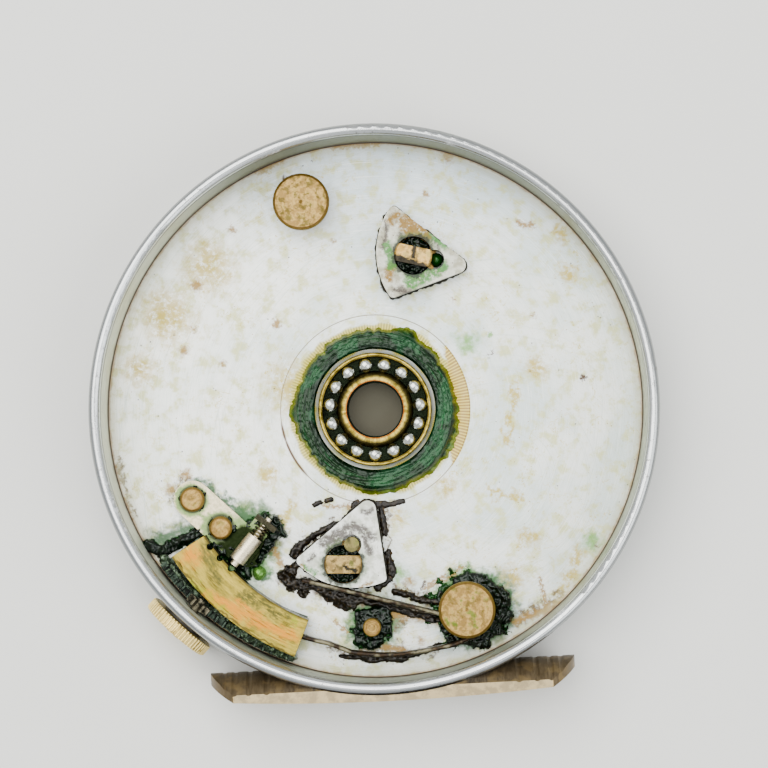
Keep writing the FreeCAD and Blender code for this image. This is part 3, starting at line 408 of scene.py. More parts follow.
def brass_look(name, bright, dull, dirt, dirt_amount=0.5, greens=0.3, metallic=0.85, rings=None,
        smears=None):
    """Turned brass: tarnish in patches, green dirt, and a darker rim where rings says (x, y, radius)."""
    look = Look(name)
    patch = look.cloud(0.6, 4, rough=0.65)
    colour = look.mix(look.fade(patch, 0.40, 0.60), dull, bright)
    grime = look.patches(0.48, 0.62, 0.9, 5, rough=0.7)
    colour = look.layers(colour, [
        (grime, dirt, dirt_amount),
        (look.patches(0.55, 0.68, 0.6, 3), (86, 108, 30), greens),
    ])
    for x, y, rim in rings or ():
        away = look.distance(look.flat, x, y)
        edge = look.times(look.band(away, rim - 0.5, rim - 0.22, 0.1), look.fade(patch, 0.3, 0.55))
        colour = look.layers(colour, [
            (edge, (96, 72, 40), 0.8),
            (look.band(away, rim - 0.2, rim + 0.4, 0.05), (104, 92, 50), 0.8),
        ])
        turned = look.fade(look.calc("SINE", look.times(away, 9)), 0.2, 0.9)
        colour = look.lay(colour, turned, (128, 108, 66), 0.25)
    if smears:
        rag = look.ragged(1.4, 1.6)
        colour = look.lay(colour, look.union([look.streak(rag, *mark, 0.2) for mark in smears]),
            (12, 16, 8), 0.96)
    rough = look.fade(patch, 0.3, 0.7, 0.30, 0.5)
    rough = look.mix(grime, rough, grey(0.6))
    look.bump(look.cloud(3, 5, rough=0.7), 0.04)
    return look.done(colour, rough, metallic)


def race_look():
    """Turned rings, with painted shade in the gaps at their edges, and red-brown at the bore."""
    look = Look("race_brass")
    radius = look.radius()
    turned = look.cloud(1, 3, at=look.around(12, 1.5), rough=0.7)
    patch = look.cloud(0.8, 4, at=look.around(0.6, 9), rough=0.7)
    colour = look.mix(look.fade(patch, 0.35, 0.65), (120, 108, 62), (200, 184, 128))
    colour = look.layers(colour, [
        (look.fade(turned, 0.52, 0.66), (78, 66, 28), 0.45),
        (look.band(radius, 5, 5.35, 0.08), (120, 58, 18), 0.75),
    ])
    # Painted shade: near black at the ring edges by the gaps round the balls and the boss.
    seam_shade = [look.band(radius, 6.5, 6.9, 0.1), look.fade(radius, 10.1, 10.3), look.fade(radius, 9.35, 9.2)]
    colour = look.lay(colour, look.times(look.union(seam_shade), look.fade(radius, 5.6, 6.1)), (20, 22, 12),
        0.85)
    look.bump(turned, 0.03)
    return look.done(colour, look.fade(turned, 0.3, 0.7, 0.32, 0.5), 0.85)


def steel_look(name, light, dark, share=(0.5, 0.66), rough=(0.3, 0.5), metallic=0.9, relief=0.05,
        scale=0.8):
    """Worn steel with dark grime in patches."""
    look = Look(name)
    grime = look.fade(look.cloud(scale, 5, rough=0.7), *share)
    fine = look.cloud(scale * 5, 4, rough=0.7)
    colour = look.mix(grime, light, dark)
    colour = look.lay(colour, look.fade(fine, 0.58, 0.7), dark, 0.35)
    look.bump(fine, relief)
    return look.done(colour, look.fade(fine, 0.3, 0.7, *rough), metallic)


def pawl_look(name, x, y, light, dull, scuffs, rusts, greens):
    """A pale plated pawl: dark scuffs, scratches, and stains laid round its stud at (x, y)."""
    look = Look(name)
    rag = look.ragged(0.9, 2.4)
    base = look.mix(look.patches(0.4, 0.62, 0.5, 4, rough=0.6), light, dull)
    scratch_at = look.mapped(Scale=(7, 0.6, 1), Rotation=(0, 0, 0.6))
    scratches = look.patches(0.62, 0.72, 1, 4, at=scratch_at, rough=0.75)
    base = look.lay(base, scratches, (120, 116, 110), 0.6)
    speckle = look.fade(look.cells(1.1), 0.16, 0.08)
    base = look.lay(base, look.times(speckle, look.patches(0.48, 0.58, 0.35, 2)), (96, 84, 72), 0.8)
    broken = look.patches(0.32, 0.50, 1.6, 5, rough=0.75)
    for marks, colour, strength in ((scuffs, (70, 62, 58), 0.9), (rusts, (128, 104, 48), 0.95),
                                    (greens, (64, 118, 54), 0.9)):
        mask = look.union([look.streak(rag, *mark, 0.4) for mark in marks])
        base = look.lay(base, look.times(mask, broken), colour, strength)
    rim = look.distance(rag, x, y)
    base = look.layers(base, [
        (look.fade(rim, 4.9, 3.9), (84, 108, 62), 0.5),
        (look.fade(rim, 4.1, 3.7), (14, 20, 12), 0.85),
    ])
    base = look.shaded_sides(base, (34, 28, 22), 0.9)
    rough = look.fade(look.cloud(2, 4), 0.3, 0.7, 0.34, 0.55)
    look.bump(scratches, -0.03)
    look.bump(look.cloud(2.5, 4, rough=0.7), 0.03)
    return look.done(base, rough, 0.35)


def slide_look():
    """The brass slide: orange-gold wear along the outer half, grey-olive smudges toward the middle."""
    look = Look("slide_brass")
    own = look.distance(look.flat, *SLIDE_CENTRE)
    turn = look.calc("ARCTAN2", look.minus(look.y, SLIDE_CENTRE[1]), look.minus(look.x, SLIDE_CENTRE[0]))
    rag = look.ragged(0.55, 4.5)

    def along(radial, angular, detail=4):
        at = look.point(look.times(own, radial), look.times(turn, angular))
        return look.cloud(1, detail, at=at, rough=0.7)

    colour = look.mix(look.fade(along(0.9, 9), 0.36, 0.62), (124, 114, 66), (176, 162, 104))
    orange = look.marks(rag, [
        (-34, -24.6, 1.8, 1.2), (-32.4, -31.8, -18.1, -39.8, 0.9, 0.9),
        (-26.6, -33.4, -19.4, -38.6, 0.6, 0.7), (-16.6, -39.6, 1, 1),
    ])
    colour = look.lay(colour, look.times(orange, look.fade(along(1.6, 14), 0.30, 0.5)), (192, 138, 6),
        0.8)
    leafy = look.marks(rag, [(-34.6, -29.2, -29, -34.8, 0.4, 0.6), (-17, -35.6, -16.4, -37.8, 0.4, 0.4)])
    colour = look.lay(colour, leafy, (130, 142, 40), 0.6)
    smudge = look.marks(rag, [
        (-31.6, -22.8, -30.4, -28.6, 0.9, 0.9), (-25.4, -32, -17.9, -36.2, 0.9, 0.8),
        (-29.6, -29.4, 0.9, 0.9),
    ])
    colour = look.lay(colour, look.times(smudge, look.fade(along(2.4, 24), 0.34, 0.54)), (78, 78, 52),
        0.9)
    streaks = look.fade(along(5, 8, 3), 0.58, 0.70)
    colour = look.layers(colour, [
        (streaks, (84, 66, 34), 0.6),
        (look.fade(along(6, 14, 3), 0.60, 0.72), (236, 214, 150), 0.5),
    ])
    wavy = look.plus(own, look.times(look.cloud(0.6, 2), 1.4))
    edges = look.union([look.fade(own, 39.5, 39.15), look.band(wavy, 46.3, 46.7, 0.1)])
    colour = look.lay(colour, edges, (60, 52, 26), 0.75)
    colour = look.shaded_sides(colour, (26, 24, 14), 0.85)
    look.bump(along(2, 16), 0.08)
    look.bump(streaks, -0.04)
    return look.done(colour, look.fade(along(0.9, 9), 0.3, 0.7, 0.32, 0.52), 0.7)


def bracket_look():
    """The pale bracket strip, black with grease at the plunger and round the rivet heads."""
    look = Look("bracket_nickel")
    rag = look.ragged(1, 1.8)
    fine = look.cloud(1.6, 4, rough=0.7)
    colour = look.mix(look.fade(fine, 0.38, 0.62), (230, 220, 198), (204, 198, 172))
    greens = look.marks(rag, [
        (-34.2, -14.7, 3.1, 0.4), (-29.4, -20.2, 3.3, 0.4), (-33.4, -17, -31.4, -18.4, 0.2, 0.5),
        (-25, -23.6, 5.4, 0.7),
    ])
    colour = look.lay(colour, greens, (78, 124, 40), 0.75)
    rings = look.marks(look.flat, [(-34, -14.6, 2.55, 0.2), (-29.1, -20, 2.6, 0.3)])
    colour = look.lay(colour, rings, (30, 30, 14), 0.85)
    black = look.marks(rag, [(-25, -24.2, 4.4, 0.6), (-31, -23.6, -27, -23, 0.9, 0.5)])
    black = look.union([black, look.fade(look.z, 1.25, 1.45)])
    colour = look.lay(colour, black, (8, 14, 8), 0.96)
    colour = look.shaded_sides(colour, (14, 18, 8), 0.9)
    look.bump(fine, 0.03)
    return look.done(colour, look.fade(fine, 0.3, 0.7, 0.34, 0.5), look.calc("MAXIMUM", black, 0.4))


def grease_look(name, deep, middle, pale, rough=0.16, streaky=0, edge=None):
    """Wet grease, coloured by its thickness, which the mesh carries as the attribute depth."""
    look = Look(name)
    depth = look.add("ShaderNodeAttribute", attribute_name="depth").outputs["Fac"]
    if streaky:
        marks = look.cloud(1, 4, at=look.around(streaky, 3.2), rough=0.7)
    else:
        marks = look.cloud(1.6, 4, rough=0.7)
    colour = look.mix(look.fade(marks, 0.38, 0.62), deep, middle)
    # Lighter marks; in the grey rack grease they are painted highlights.
    colour = look.lay(colour, look.fade(marks, 0.58, 0.70), pale, 0.75)
    if edge:
        wander = look.plus(depth, look.times(look.minus(look.cloud(0.9, 3), 0.5), 0.6))
        colour = look.mix(look.fade(wander, 0.12, 0.5), edge, colour)
    if streaky:
        colour = look.layers(colour, [
            (look.fade(look.radius(), 12.6, 11.4), (2, 26, 12), 0.8),
            (look.patches(0.5, 0.62, 0.25, 2), (56, 108, 74), 0.2),
        ])
    look.bump(marks, 0.09 if streaky else 0.07)
    look.bump(look.cloud(4, 3, rough=0.6), 0.02)
    return look.done(colour, rough, 0.5, Coat_Weight=0.3, Coat_Roughness=0.1, Specular_IOR_Level=0.2)


def foot_look():
    """Dark bronze patina on the arch, pale worn edge faces, and bright filed corners."""
    look = Look("foot_bronze")
    grain = look.cloud(1, 4, at=look.mapped(Scale=(2.4, 0.5, 0.5)), rough=0.7)
    dark = look.mix(look.fade(grain, 0.34, 0.68), (70, 64, 56), (102, 94, 82))
    worn = look.patches(0.50, 0.64, 0.35, 3)
    dark = look.lay(dark, worn, (152, 136, 108), 0.4)
    nearer = look.fade(look.absolute(look.minus(look.x, FOOT_MIDDLE_X)), 12, 24)
    dark = look.lay(dark, nearer, (140, 124, 98), 0.25)
    _, toward_rod, up = look.facing()
    pale = look.mix(look.patches(0.4, 0.6, 0.6, 4, rough=0.65), (176, 164, 140), (150, 140, 120))
    flat = look.fade(look.absolute(up), 0.90, 0.985)
    tips = look.fade(look.absolute(look.minus(look.x, FOOT_MIDDLE_X)), 28, 29)
    gold = look.lay(pale, tips, (184, 156, 98), 0.7)
    colour = look.mix(flat, dark, gold)
    rod_side = look.fade(toward_rod, -0.2, -0.6)
    colour = look.lay(colour, look.times(rod_side, look.fade(grain, 0.3, 0.6)), (150, 132, 100), 0.6)
    look.bump(grain, 0.03)
    return look.done(colour, look.fade(grain, 0.3, 0.7, 0.36, 0.5), 0.7)


def spring_look():
    """A rusty black leaf with a painted highlight along its upper edge."""
    look = Look("spring_rust")
    lumps = look.cloud(1.3, 5, rough=0.72)
    colour = look.mix(look.fade(lumps, 0.4, 0.62), (30, 24, 18), (64, 50, 34))
    # Painted highlight: pale patches along the top of the leaf.
    top = look.times(look.fade(look.z, 4.2, 4.45), look.patches(0.46, 0.62, 0.35, 3))
    colour = look.lay(colour, top, (150, 146, 128), 0.7)
    look.bump(lumps, 0.15)
    return look.done(colour, look.fade(lumps, 0.3, 0.7, 0.28, 0.55), 0.6)


def paint(node, material):
    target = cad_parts[node]
    if not target.data.materials:
        target.data.materials.append(material)
    for entry in target.material_slots:
        entry.material = material


# ---------------------------------------------------------------- meshes

def solid(name, points, faces, material, body, depth=None, smooth=True):
    """A mesh piece from millimetre points, which rides on a body."""
    mesh = bpy.data.meshes.new(name)
    mesh.from_pydata([Vector(p) * MM for p in points], [], faces)
    mesh.validate()
    mesh.polygons.foreach_set("use_smooth", [smooth] * len(mesh.polygons))
    if depth:
        mesh.attributes.new("depth", "FLOAT", "POINT").data.foreach_set("value", depth)
    mesh.materials.append(material)
    piece = bpy.data.objects.new(name, mesh)
    bpy.context.scene.collection.objects.link(piece)
    if body:
        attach(piece, body)
    return piece


def rough_field(x, y, seed, scale):
    """Layered noise over the floor plan, mostly between -1 and 1."""
    return noise.fractal(Vector((x * scale, y * scale, seed)), 0.8, 2.2, 4)


def deposit(name, body, material, capsules, seed, cell=0.2, floor=0, rag=0.55, lumps=0.4,
        keep=None):
    """A low ragged mound. Each capsule is (x0, y0, x1, y1, reach, height); keep cuts it to shape."""
    low_x = min(min(c[0], c[2]) - c[4] * 1.6 for c in capsules)
    low_y = min(min(c[1], c[3]) - c[4] * 1.6 for c in capsules)
    high_x = max(max(c[0], c[2]) + c[4] * 1.6 for c in capsules)
    high_y = max(max(c[1], c[3]) + c[4] * 1.6 for c in capsules)
    tallest = max(c[5] for c in capsules)

    def level(x, y):
        """Above 0 inside the mound, and its height there."""
        best, rise = -1, 0
        edge = rough_field(x, y, seed, 0.42) * rag + rough_field(x, y, seed + 3, 1.7) * rag * 0.5
        for x0, y0, x1, y1, reach, height in capsules:
            run_x, run_y = x1 - x0, y1 - y0
            length = run_x * run_x + run_y * run_y
            share = 0
            if length:
                share = min(max(((x - x0) * run_x + (y - y0) * run_y) / length, 0), 1)
            away = math.hypot(x - x0 - share * run_x, y - y0 - share * run_y)
            inside = 1 - away / reach + edge
            best = max(best, inside)
            if inside > 0:
                rounded = min(inside * 1.6, 1)
                rise = max(rise, height * math.sqrt(rounded * (2 - rounded)))
        if keep:
            best = min(best, keep(x, y))
        return best, rise * (1 + lumps * rough_field(x, y, seed + 7, 0.8))

    columns = int((high_x - low_x) / cell) + 2
    rows = int((high_y - low_y) / cell) + 2
    field = [[level(low_x + i * cell, low_y + j * cell) for i in range(columns)] for j in range(rows)]
    used, points, depth = {}, [], []

    def corner(i, j):
        if (i, j) in used:
            return used[(i, j)]
        x, y = low_x + i * cell, low_y + j * cell
        value, rise = field[j][i]
        if value <= 0:
            left, right = field[j][max(i - 1, 0)][0], field[j][min(i + 1, columns - 1)][0]
            down, up = field[max(j - 1, 0)][i][0], field[min(j + 1, rows - 1)][i][0]
            slope_x, slope_y = (right - left) / (2 * cell), (up - down) / (2 * cell)
            steep = slope_x * slope_x + slope_y * slope_y
            if steep > 1e-6:
                move_x, move_y = -value * slope_x / steep, -value * slope_y / steep
                most = max(math.hypot(move_x, move_y) / (cell * 0.95), 1)
                x, y = x + move_x / most, y + move_y / most
            rise = 0
        points.append((x, y, floor + 0.01 + max(rise, 0)))
        depth.append(max(rise, 0) / tallest)
        used[(i, j)] = len(points) - 1
        return used[(i, j)]

    faces, count = [], {}
    for j in range(rows - 1):
        for i in range(columns - 1):
            ring = ((i, j), (i + 1, j), (i + 1, j + 1), (i, j + 1))
            if any(field[b][a][0] > 0 for a, b in ring):
                faces.append(tuple(corner(a, b) for a, b in ring))
    for face in faces:
        for a, b in zip(face, face[1:] + face[:1]):
            count[(a, b)] = True
    rim = [(a, b) for a, b in count if (b, a) not in count]
    under = {}
    for a, _ in rim:
        under[a] = len(points)
        points.append((points[a][0], points[a][1], floor - 0.05))
        depth.append(0)
    sides = [(b, a, under[a], under[b]) for a, b in rim]
    follow = dict(rim)
    loops = []
    while follow:
        start, here = next(iter(follow.items()))
        loop = [start]
        while here in follow and here != start:
            loop.append(here)
            here = follow.pop(here)
        follow.pop(start, None)
        loops.append(tuple(under[a] for a in reversed(loop)))
    return solid(name, points, faces + sides + [l for l in loops if len(l) > 2], material, body,
        depth)


def swept_faces(sections, sides):
    """The faces of a closed ring of points carried through its sections, with both ends capped."""
    faces = []
    for i in range(sections - 1):
        for k in range(sides):
            a, b = i * sides + k, i * sides + (k + 1) % sides
            faces.append((a, b, b + sides, a + sides))
    faces.append(tuple(range(sides - 1, -1, -1)))
    faces.append(tuple(range((sections - 1) * sides, sections * sides)))
    return faces


def strip_along(name, path, width, low, high, seed, material, body, node_slot, wobble=0.12):
    """An upright leaf with a rusty skin along a path, from height low to high."""
    profile = [(-0.5, 0.12), (-0.5, 0.88), (-0.28, 1), (0.28, 1), (0.5, 0.88), (0.5, 0.12), (0.28, 0),
        (-0.28, 0)]
    points = []
    for i, spot in enumerate(path):
        before, after = path[max(i - 1, 0)], path[min(i + 1, len(path) - 1)]
        run = Vector((after[0] - before[0], after[1] - before[1], 0)).normalized()
        across = Vector((-run.y, run.x, 0))
        for k, (out, up) in enumerate(profile):
            push = wobble * rough_field(spot[0] + k, spot[1], seed, 1.1)
            aside = out * width + push * (1 if out > 0 else -1)
            place = Vector((spot[0], spot[1], low + (high - low) * up)) + across * aside
            points.append(tuple(place + Vector((0, 0, 0.5 * push * (1 if up > 0.5 else 0)))))
    return solid(name, points, swept_faces(len(path), len(profile)), material, body)


def hull(node):
    """The outline of a CAD node seen from above, in millimetres, anticlockwise."""
    spots = sorted({(round(v.co.x / MM, 3), round(v.co.y / MM,
        3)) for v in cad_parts[node].data.vertices})

    def half(points):
        chain = []
        for p in points:
            while len(chain) > 1 and (
                (chain[-1][0] - chain[-2][0]) * (p[1] - chain[-2][1])
                - (chain[-1][1] - chain[-2][1]) * (p[0] - chain[-2][0])
            ) <= 0:
                chain.pop()
            chain.append(p)
        return chain[:-1]
    return half(spots) + half(spots[::-1])


def even(loop, step, closed=True):
    """Points a step apart along a line of points."""
    ends = loop[1:] + loop[:1] if closed else loop[1:]
    made = []
    for (x0, y0), (x1, y1) in zip(loop, ends):
        length = math.hypot(x1 - x0, y1 - y0)
        for i in range(max(int(length / step), 1)):
            share = i * step / length if length > step else 0
            made.append((x0 + (x1 - x0) * share, y0 + (y1 - y0) * share))
    if not closed:
        made.append(loop[-1])
    return made


def skirt(name, node, body, material, low, high, reach, seed):
    """A bead of dark dirt under a part's edge all round its outline, which is also painted shade in the gap
    under the edge.
    """
    loop = even(hull(node), 0.25)
    count = len(loop)
    centre = Vector((sum(p[0] for p in loop) / count, sum(p[1] for p in loop) / count, 0))
    step = low + 0.2 * (high - low)
    levels = [(-0.9, low), (0.75, low), (1, step), (0.75, high - 0.15), (0.1, high), (-0.9, high)]
    points, faces = [], []
    for i, (x, y) in enumerate(loop):
        ahead, behind = loop[(i + 1) % count], loop[i - 1]
        out = Vector((ahead[1] - behind[1], behind[0] - ahead[0], 0)).normalized()
        if out.dot(Vector((x, y, 0)) - centre) < 0:
            out = -out
        swell = reach * (0.75 + 0.9 * max(rough_field(x, y, seed, 0.9), -0.6))
        for share, z in levels:
            away = swell * share if share > 0 else reach * share
            points.append((x + out.x * away, y + out.y * away, z))
    rows = len(levels)
    for i in range(count):
        for k in range(rows):
            a, b = i * rows + k, i * rows + (k + 1) % rows
            c, d = ((i + 1) % count) * rows + (k + 1) % rows, ((i + 1) % count) * rows + k
            faces.append((a, d, c, b))
    return solid(name, points, faces, material, body, [1.0] * len(points))


# ---------------------------------------------------------------- CAD nodes

TAN_BRASS = ((178, 156, 116), (132, 112, 78), (92, 84, 38))
RINGS = {
    "spring_post": [(*SPRING_POST, 5.1)], "spare_spring_post": [(*SPARE_POST, 5.1)],
    "stop_pin": [(*STOP_PIN, 1.63)], "bracket_rivets": [(*OUTER_RIVET, 2.24), (*INNER_RIVET, 2.1)],
}
paint("back_frame", alloy_look())
race = race_look()
paint("bearing_outer_race", race)
paint("bearing_inner_race", race)
paint("bearing_balls", steel_look(
    "ball_steel", (208, 210, 206), (84, 90, 80), (0.54, 0.66), (0.14, 0.22), 1, 0.01, 1.5))
paint("bearing_cage", steel_look(
    "cage_black", (40, 46, 36), (12, 14, 10), rough=(0.2, 0.4), metallic=0.95, relief=0.3))
for part, dirt_amount, green in (("spring_post", 0.6, 0.8), ("spare_spring_post", 0.75, 0.15),
                                 ("stop_pin", 0.3, 0.1), ("bracket_rivets", 0.35, 0.3)):
    paint(part, brass_look(part + "_brass", *TAN_BRASS, dirt_amount, green, 0.6, RINGS[part]))
paint("pawl_stud", brass_look(
    "stud_brass", (176, 158, 122), (128, 112, 82), (60, 58, 40), 0.7, 0.3, 0.7,
    smears=[(-6.7, -28.2, -4.8, -29, 0.35), (-7, -29.6, -6, -29.9, 0.3)]))
paint("spare_pawl_stud", brass_look(
    "spare_stud_brass", (206, 182, 138), (164, 140, 96), (52, 56, 40), 0.5, 0.3, 0.6,
    smears=[(8.6, 28.6, 8.4, 27.2, 0.4), (5.4, 27, 10.4, 24.9, 0.75)]))
paint("pawl_limit_pin", brass_look("pin_brass", (130, 122, 92), (96, 92, 66), (40, 44, 32), 0.7, 0.3, 0.7))
for part, name in (("slide_guide_pins", "guide_brass"), ("slide_rivets", "slide_rivet_brass"),
                   ("rim_bush", "bush_brass"), ("foot_rivets", "foot_rivet_brass")):
    paint(part, brass_look(name, *TAN_BRASS))
paint("regulator_slide", slide_look())
paint("regulator_rack", steel_look(
    "rack_black", (96, 108, 98), (22, 26, 22), (0.42, 0.6), (0.25, 0.5), 0.5, 0.2))
for part in ("regulator_pinion", "regulator_shaft"):
    paint(part, steel_look(part + "_steel", (120, 116, 104), (34, 34, 28), (0.42, 0.6)))
for part in ("regulator_knob", "knob_screw"):
    paint(part, steel_look(part + "_nickel", (214, 200, 158), (150, 132, 88), (0.5, 0.7), (0.3, 0.44)))
paint("detent_bracket", bracket_look())
paint("detent_plunger", steel_look(
    "plunger_nickel", (222, 214, 196), (120, 108, 84), (0.52, 0.7), (0.22, 0.4)))
paint("detent_spring", steel_look("coil_steel", (70, 66, 54), (20, 20, 16), (0.4, 0.6)))
paint("knob_washer", steel_look("washer_fibre", (60, 56, 50), (26, 24, 22), metallic=0))
paint("foot", foot_look())
paint("check_pawl", pawl_look(
    "pawl_plate", *PAWL_STUD, (230, 231, 226), (190, 192, 182),
    [
        (-10.6, -23.6, -5, -20.8, 0.9), (-5, -20.6, -1.5, -23, 0.7), (-9.5, -24.4, -6, -22.6, 1.2),
        (-13.4, -26.4, -12.4, -25.6, 0.4), (-3, -23.4, -2.4, -25.6, 0.6), (-3.2, -18.4, -1.6, -18.2, 0.4),
    ],
    [(-2.2, -31, -4, -32, 0.3), (-14.6, -27.4, -13.8, -28.2, 0.25)],
    [(-13.8, -27.8, -12.4, -29, 0.3)],
))
paint("spare_pawl", pawl_look(
    "spare_pawl_plate", *SPARE_STUD, (204, 204, 194), (166, 164, 150),
    [(4, 34, 3, 29, 0.25), (5, 21.6, 7, 20.6, 0.6), (6.4, 31, 11.4, 30.2, 0.7), (12.4, 30, 13.6, 27, 0.3)],
    [(7.6, 33.4, 10, 31.2, 1.7), (4.4, 25.4, 3.8, 23.6, 0.8), (5.6, 35, 4.8, 33.8, 0.6)],
    [
        (8, 22.6, 13.4, 25.2, 1.3), (3.8, 29.6, 4.4, 25.8, 0.7), (14.4, 28.6, 12, 31, 0.6),
        (7.2, 23.4, 8.4, 22.6, 0.8),
    ],
))

# ---------------------------------------------------------------- grease and dirt

BLACK_GREEN = grease_look("grease_dark", (6, 14, 8), (12, 30, 16), (40, 64, 40), 0.22, edge=(26, 70, 24))
BROWN_DIRT = grease_look("grease_brown", (18, 15, 9), (36, 29, 16), (78, 66, 38), 0.45, edge=(70, 54, 24))
# Dark grease whose grey-green and near-white tones are painted highlights.
DARK_GREASE_GREY_SHEEN = grease_look("grease_grey_sheen", (28, 36, 26), (112, 126, 108), (186, 200, 184), 0.4)
BRIGHT_GREEN = grease_look("grease_green", (0, 28, 6), (0, 50, 14), (30, 86, 52), 0.22, streaky=3.4,
                           edge=(104, 112, 52))


def bearing_grease():
    """The thick green ring wiped round the bearing, ridged by the turning drum."""
    turns, rings = 420, 34
    points, faces, depth = [], [], []
    inner = 10.95
    swells = ((180, 5, 1.1), (64, 9, 0.9), (272, 16, 0.8), (228, 24, -0.4), (-28, 22, 0.8), (134, 20, -0.3))
    for i in range(turns):
        angle = 2 * math.pi * i / turns
        cos, sin = math.cos(angle), math.sin(angle)
        wide, fine = rough_field(cos * 4, sin * 4, 3, 0.8), rough_field(cos * 14, sin * 14, 5, 1)
        outer = 14.9 + 0.55 * wide + 0.45 * fine
        for at, width, extra in swells:
            gap = (math.degrees(angle) - at + 180) % 360 - 180
            outer += extra * math.exp(-(gap / width) ** 2)
        for j in range(rings + 1):
            share = j / rings
            radius = inner + (outer - inner) * share
            x, y = radius * cos, radius * sin
            ground = BOSS_TOP - min(max((radius - BOSS_R) / 0.8, 0), 1) * BOSS_TOP
            ridges = noise.fractal(Vector((radius * 2.2, sin * 3, cos * 3)), 0.8, 2.1, 4)
            body = 0.42 * (1 - share ** 3) * min(share * 9, 1)
            fill = 0.5 * math.exp(-((radius - 14.8) / 0.9) ** 2) * (1 - share ** 4)
            rise = max(body * (1 + 0.55 * ridges) + fill + 0.10 * rough_field(x, y, 9, 1.6), 0.02)
            if j in (0, rings):
                rise = 0
            points.append((x, y, ground + 0.012 + rise))
            depth.append(min((1 - share) * 2.2, 1))
    row = rings + 1
    under = len(points)
    for i in range(turns):
        for j in (0, rings):
            x, y, z = points[i * row + j]
            points.append((x, y, z - 0.06))
            depth.append(0)
    for i in range(turns):
        n = (i + 1) % turns
        for j in range(rings):
            faces.append((i * row + j, i * row + j + 1, n * row + j + 1, n * row + j))
        a, b, c, d = under + 2 * i, under + 2 * i + 1, under + 2 * n + 1, under + 2 * n
        faces.append((a, d, c, b))
        faces.append((i * row, n * row, d, a))
        faces.append((i * row + rings, b, c, n * row + rings))
    return solid("bearing_grease", points, faces, BRIGHT_GREEN, "frame", depth)


bearing_grease()
deposit("post_grease", "frame", BLACK_GREEN, [
    (13.4, -32, 17.4, -31.7, 1.2, 1), (17.5, -32.1, 20.2, -34.2, 1.6, 1.6),
    (20.7, -35.2, 21, -38.8, 1.8, 1.8), (19.8, -40.2, 17.9, -41.8, 1.6, 1.5),
    (17.2, -42.3, 12.8, -42.5, 1.8, 1.4), (10.6, -40, 11.8, -42, 1.1, 1),
    (9.8, -35.2, 10.4, -33.2, 0.8, 0.8), (14.7, -36.9, 14.8, -36.9, 5.9, 0.8),
], 2)
deposit("stop_grease", "frame", BLACK_GREEN, [
    (-2.55, -39.3, -2.5, -39.3, 3.2, 1.3), (-4.4, -37, -0.2, -36.7, 1.1, 1),
    (0, -37.4, 0.4, -39.4, 0.7, 0.8), (-4.9, -37, -5.1, -40, 0.8, 0.8),
    (-4.4, -41.8, -1.8, -42.2, 1.4, 0.8),
], 11)
deposit("bracket_grease", "frame", BLACK_GREEN, [
    (-29.1, -20, -29, -20, 2.9, 1.5), (-30.8, -23, -28.2, -24.6, 1.5, 1.15),
    (-27.8, -24.8, -25.8, -27.6, 1.7, 1.2), (-25.6, -28, -24.8, -28.8, 0.9, 1.1),
    (-24.2, -19.8, -21, -18.9, 1, 1.2), (-19.6, -19.6, -19.5, -21.6, 1.3, 2.4),
    (-20.2, -22.6, -21.4, -24.6, 1, 2.2), (-21.8, -25.2, -23.2, -27, 0.9, 1.6),
    (-18.4, -20.4, -17.8, -21.8, 0.7, 1.2), (-34, -14.6, -33.9, -14.6, 2.75, 1.4),
], 21)
deposit("slide_end_grease", "frame", BLACK_GREEN, [
    (-42.6, -22.6, -40, -24, 1.2, 1), (-40, -23.9, -36.2, -21.8, 1.3, 1.1),
    (-36, -21.8, -32.4, -20.6, 1.2, 1.1),
], 31)
deposit("spring_tip_dirt", "frame", BROWN_DIRT, [
    (-18.2, -29.2, -16.6, -30.4, 1.2, 1.3), (-16.8, -30.8, -14.6, -31.4, 1.4, 1.4),
    (-17.6, -28, -16.4, -28.6, 0.7, 0.8), (-15.4, -32.2, -14.8, -33.2, 0.7, 0.7),
    (-16.2, -27.6, -15, -27.2, 0.6, 0.8),
], 41)
deposit("spring_leg_dirt", "frame", BROWN_DIRT, [
    (-14, -31.2, -9.6, -32.7, 1.2, 1.1), (-9.8, -33.2, -6, -34.4, 1.5, 1.2), (-6, -34, -1, -35, 1, 1),
    (-1, -35.4, 4.4, -37.2, 0.7, 0.8), (4.4, -37.4, 9.8, -38.8, 0.7, 0.8), (1.8, -33.4, 5, -34.2, 0.7, 0.8),
    (5, -34.6, 9.8, -35.6, 0.7, 0.8), (-9, -34.8, -7, -35.8, 0.6, 0.6),
], 43)
deposit("lower_leg_dirt", "frame", BROWN_DIRT, [
    (-8.6, -44.4, -3, -45.2, 0.6, 0.6), (-3.4, -45.3, 3, -45.3, 0.8, 0.6), (4, -44.9, 9.6, -43.6, 0.7, 0.7),
], 47)
deposit("pawl_tip_dirt", "frame", BROWN_DIRT, [
    (-4.8, -17.4, 0.8, -17.3, 0.9, 0.24), (0.8, -17.6, 4.2, -17, 0.5, 0.22),
    (0.1, -18.4, 0.6, -22.6, 0.6, 0.22), (-11.9, -16.8, -10.8, -16.4, 0.5, 0.3),
    (-9.8, -16.1, -8.8, -15.9, 0.4, 0.25),
], 53, keep=lambda x, y: (math.hypot(x, y) - 16.6) * 2)
deposit("pawl_side_dirt", "frame", BROWN_DIRT, [
    (-16.2, -25.6, -15.3, -24.2, 0.9, 0.9), (-14.6, -23.6, -12.4, -22.4, 0.8, 0.8),
    (-11.6, -22, -8.6, -20.4, 0.6, 0.7), (0.9, -26.6, 1.4, -29.6, 1, 0.6), (0.6, -31, -1, -32.2, 0.8, 0.6),
], 59)


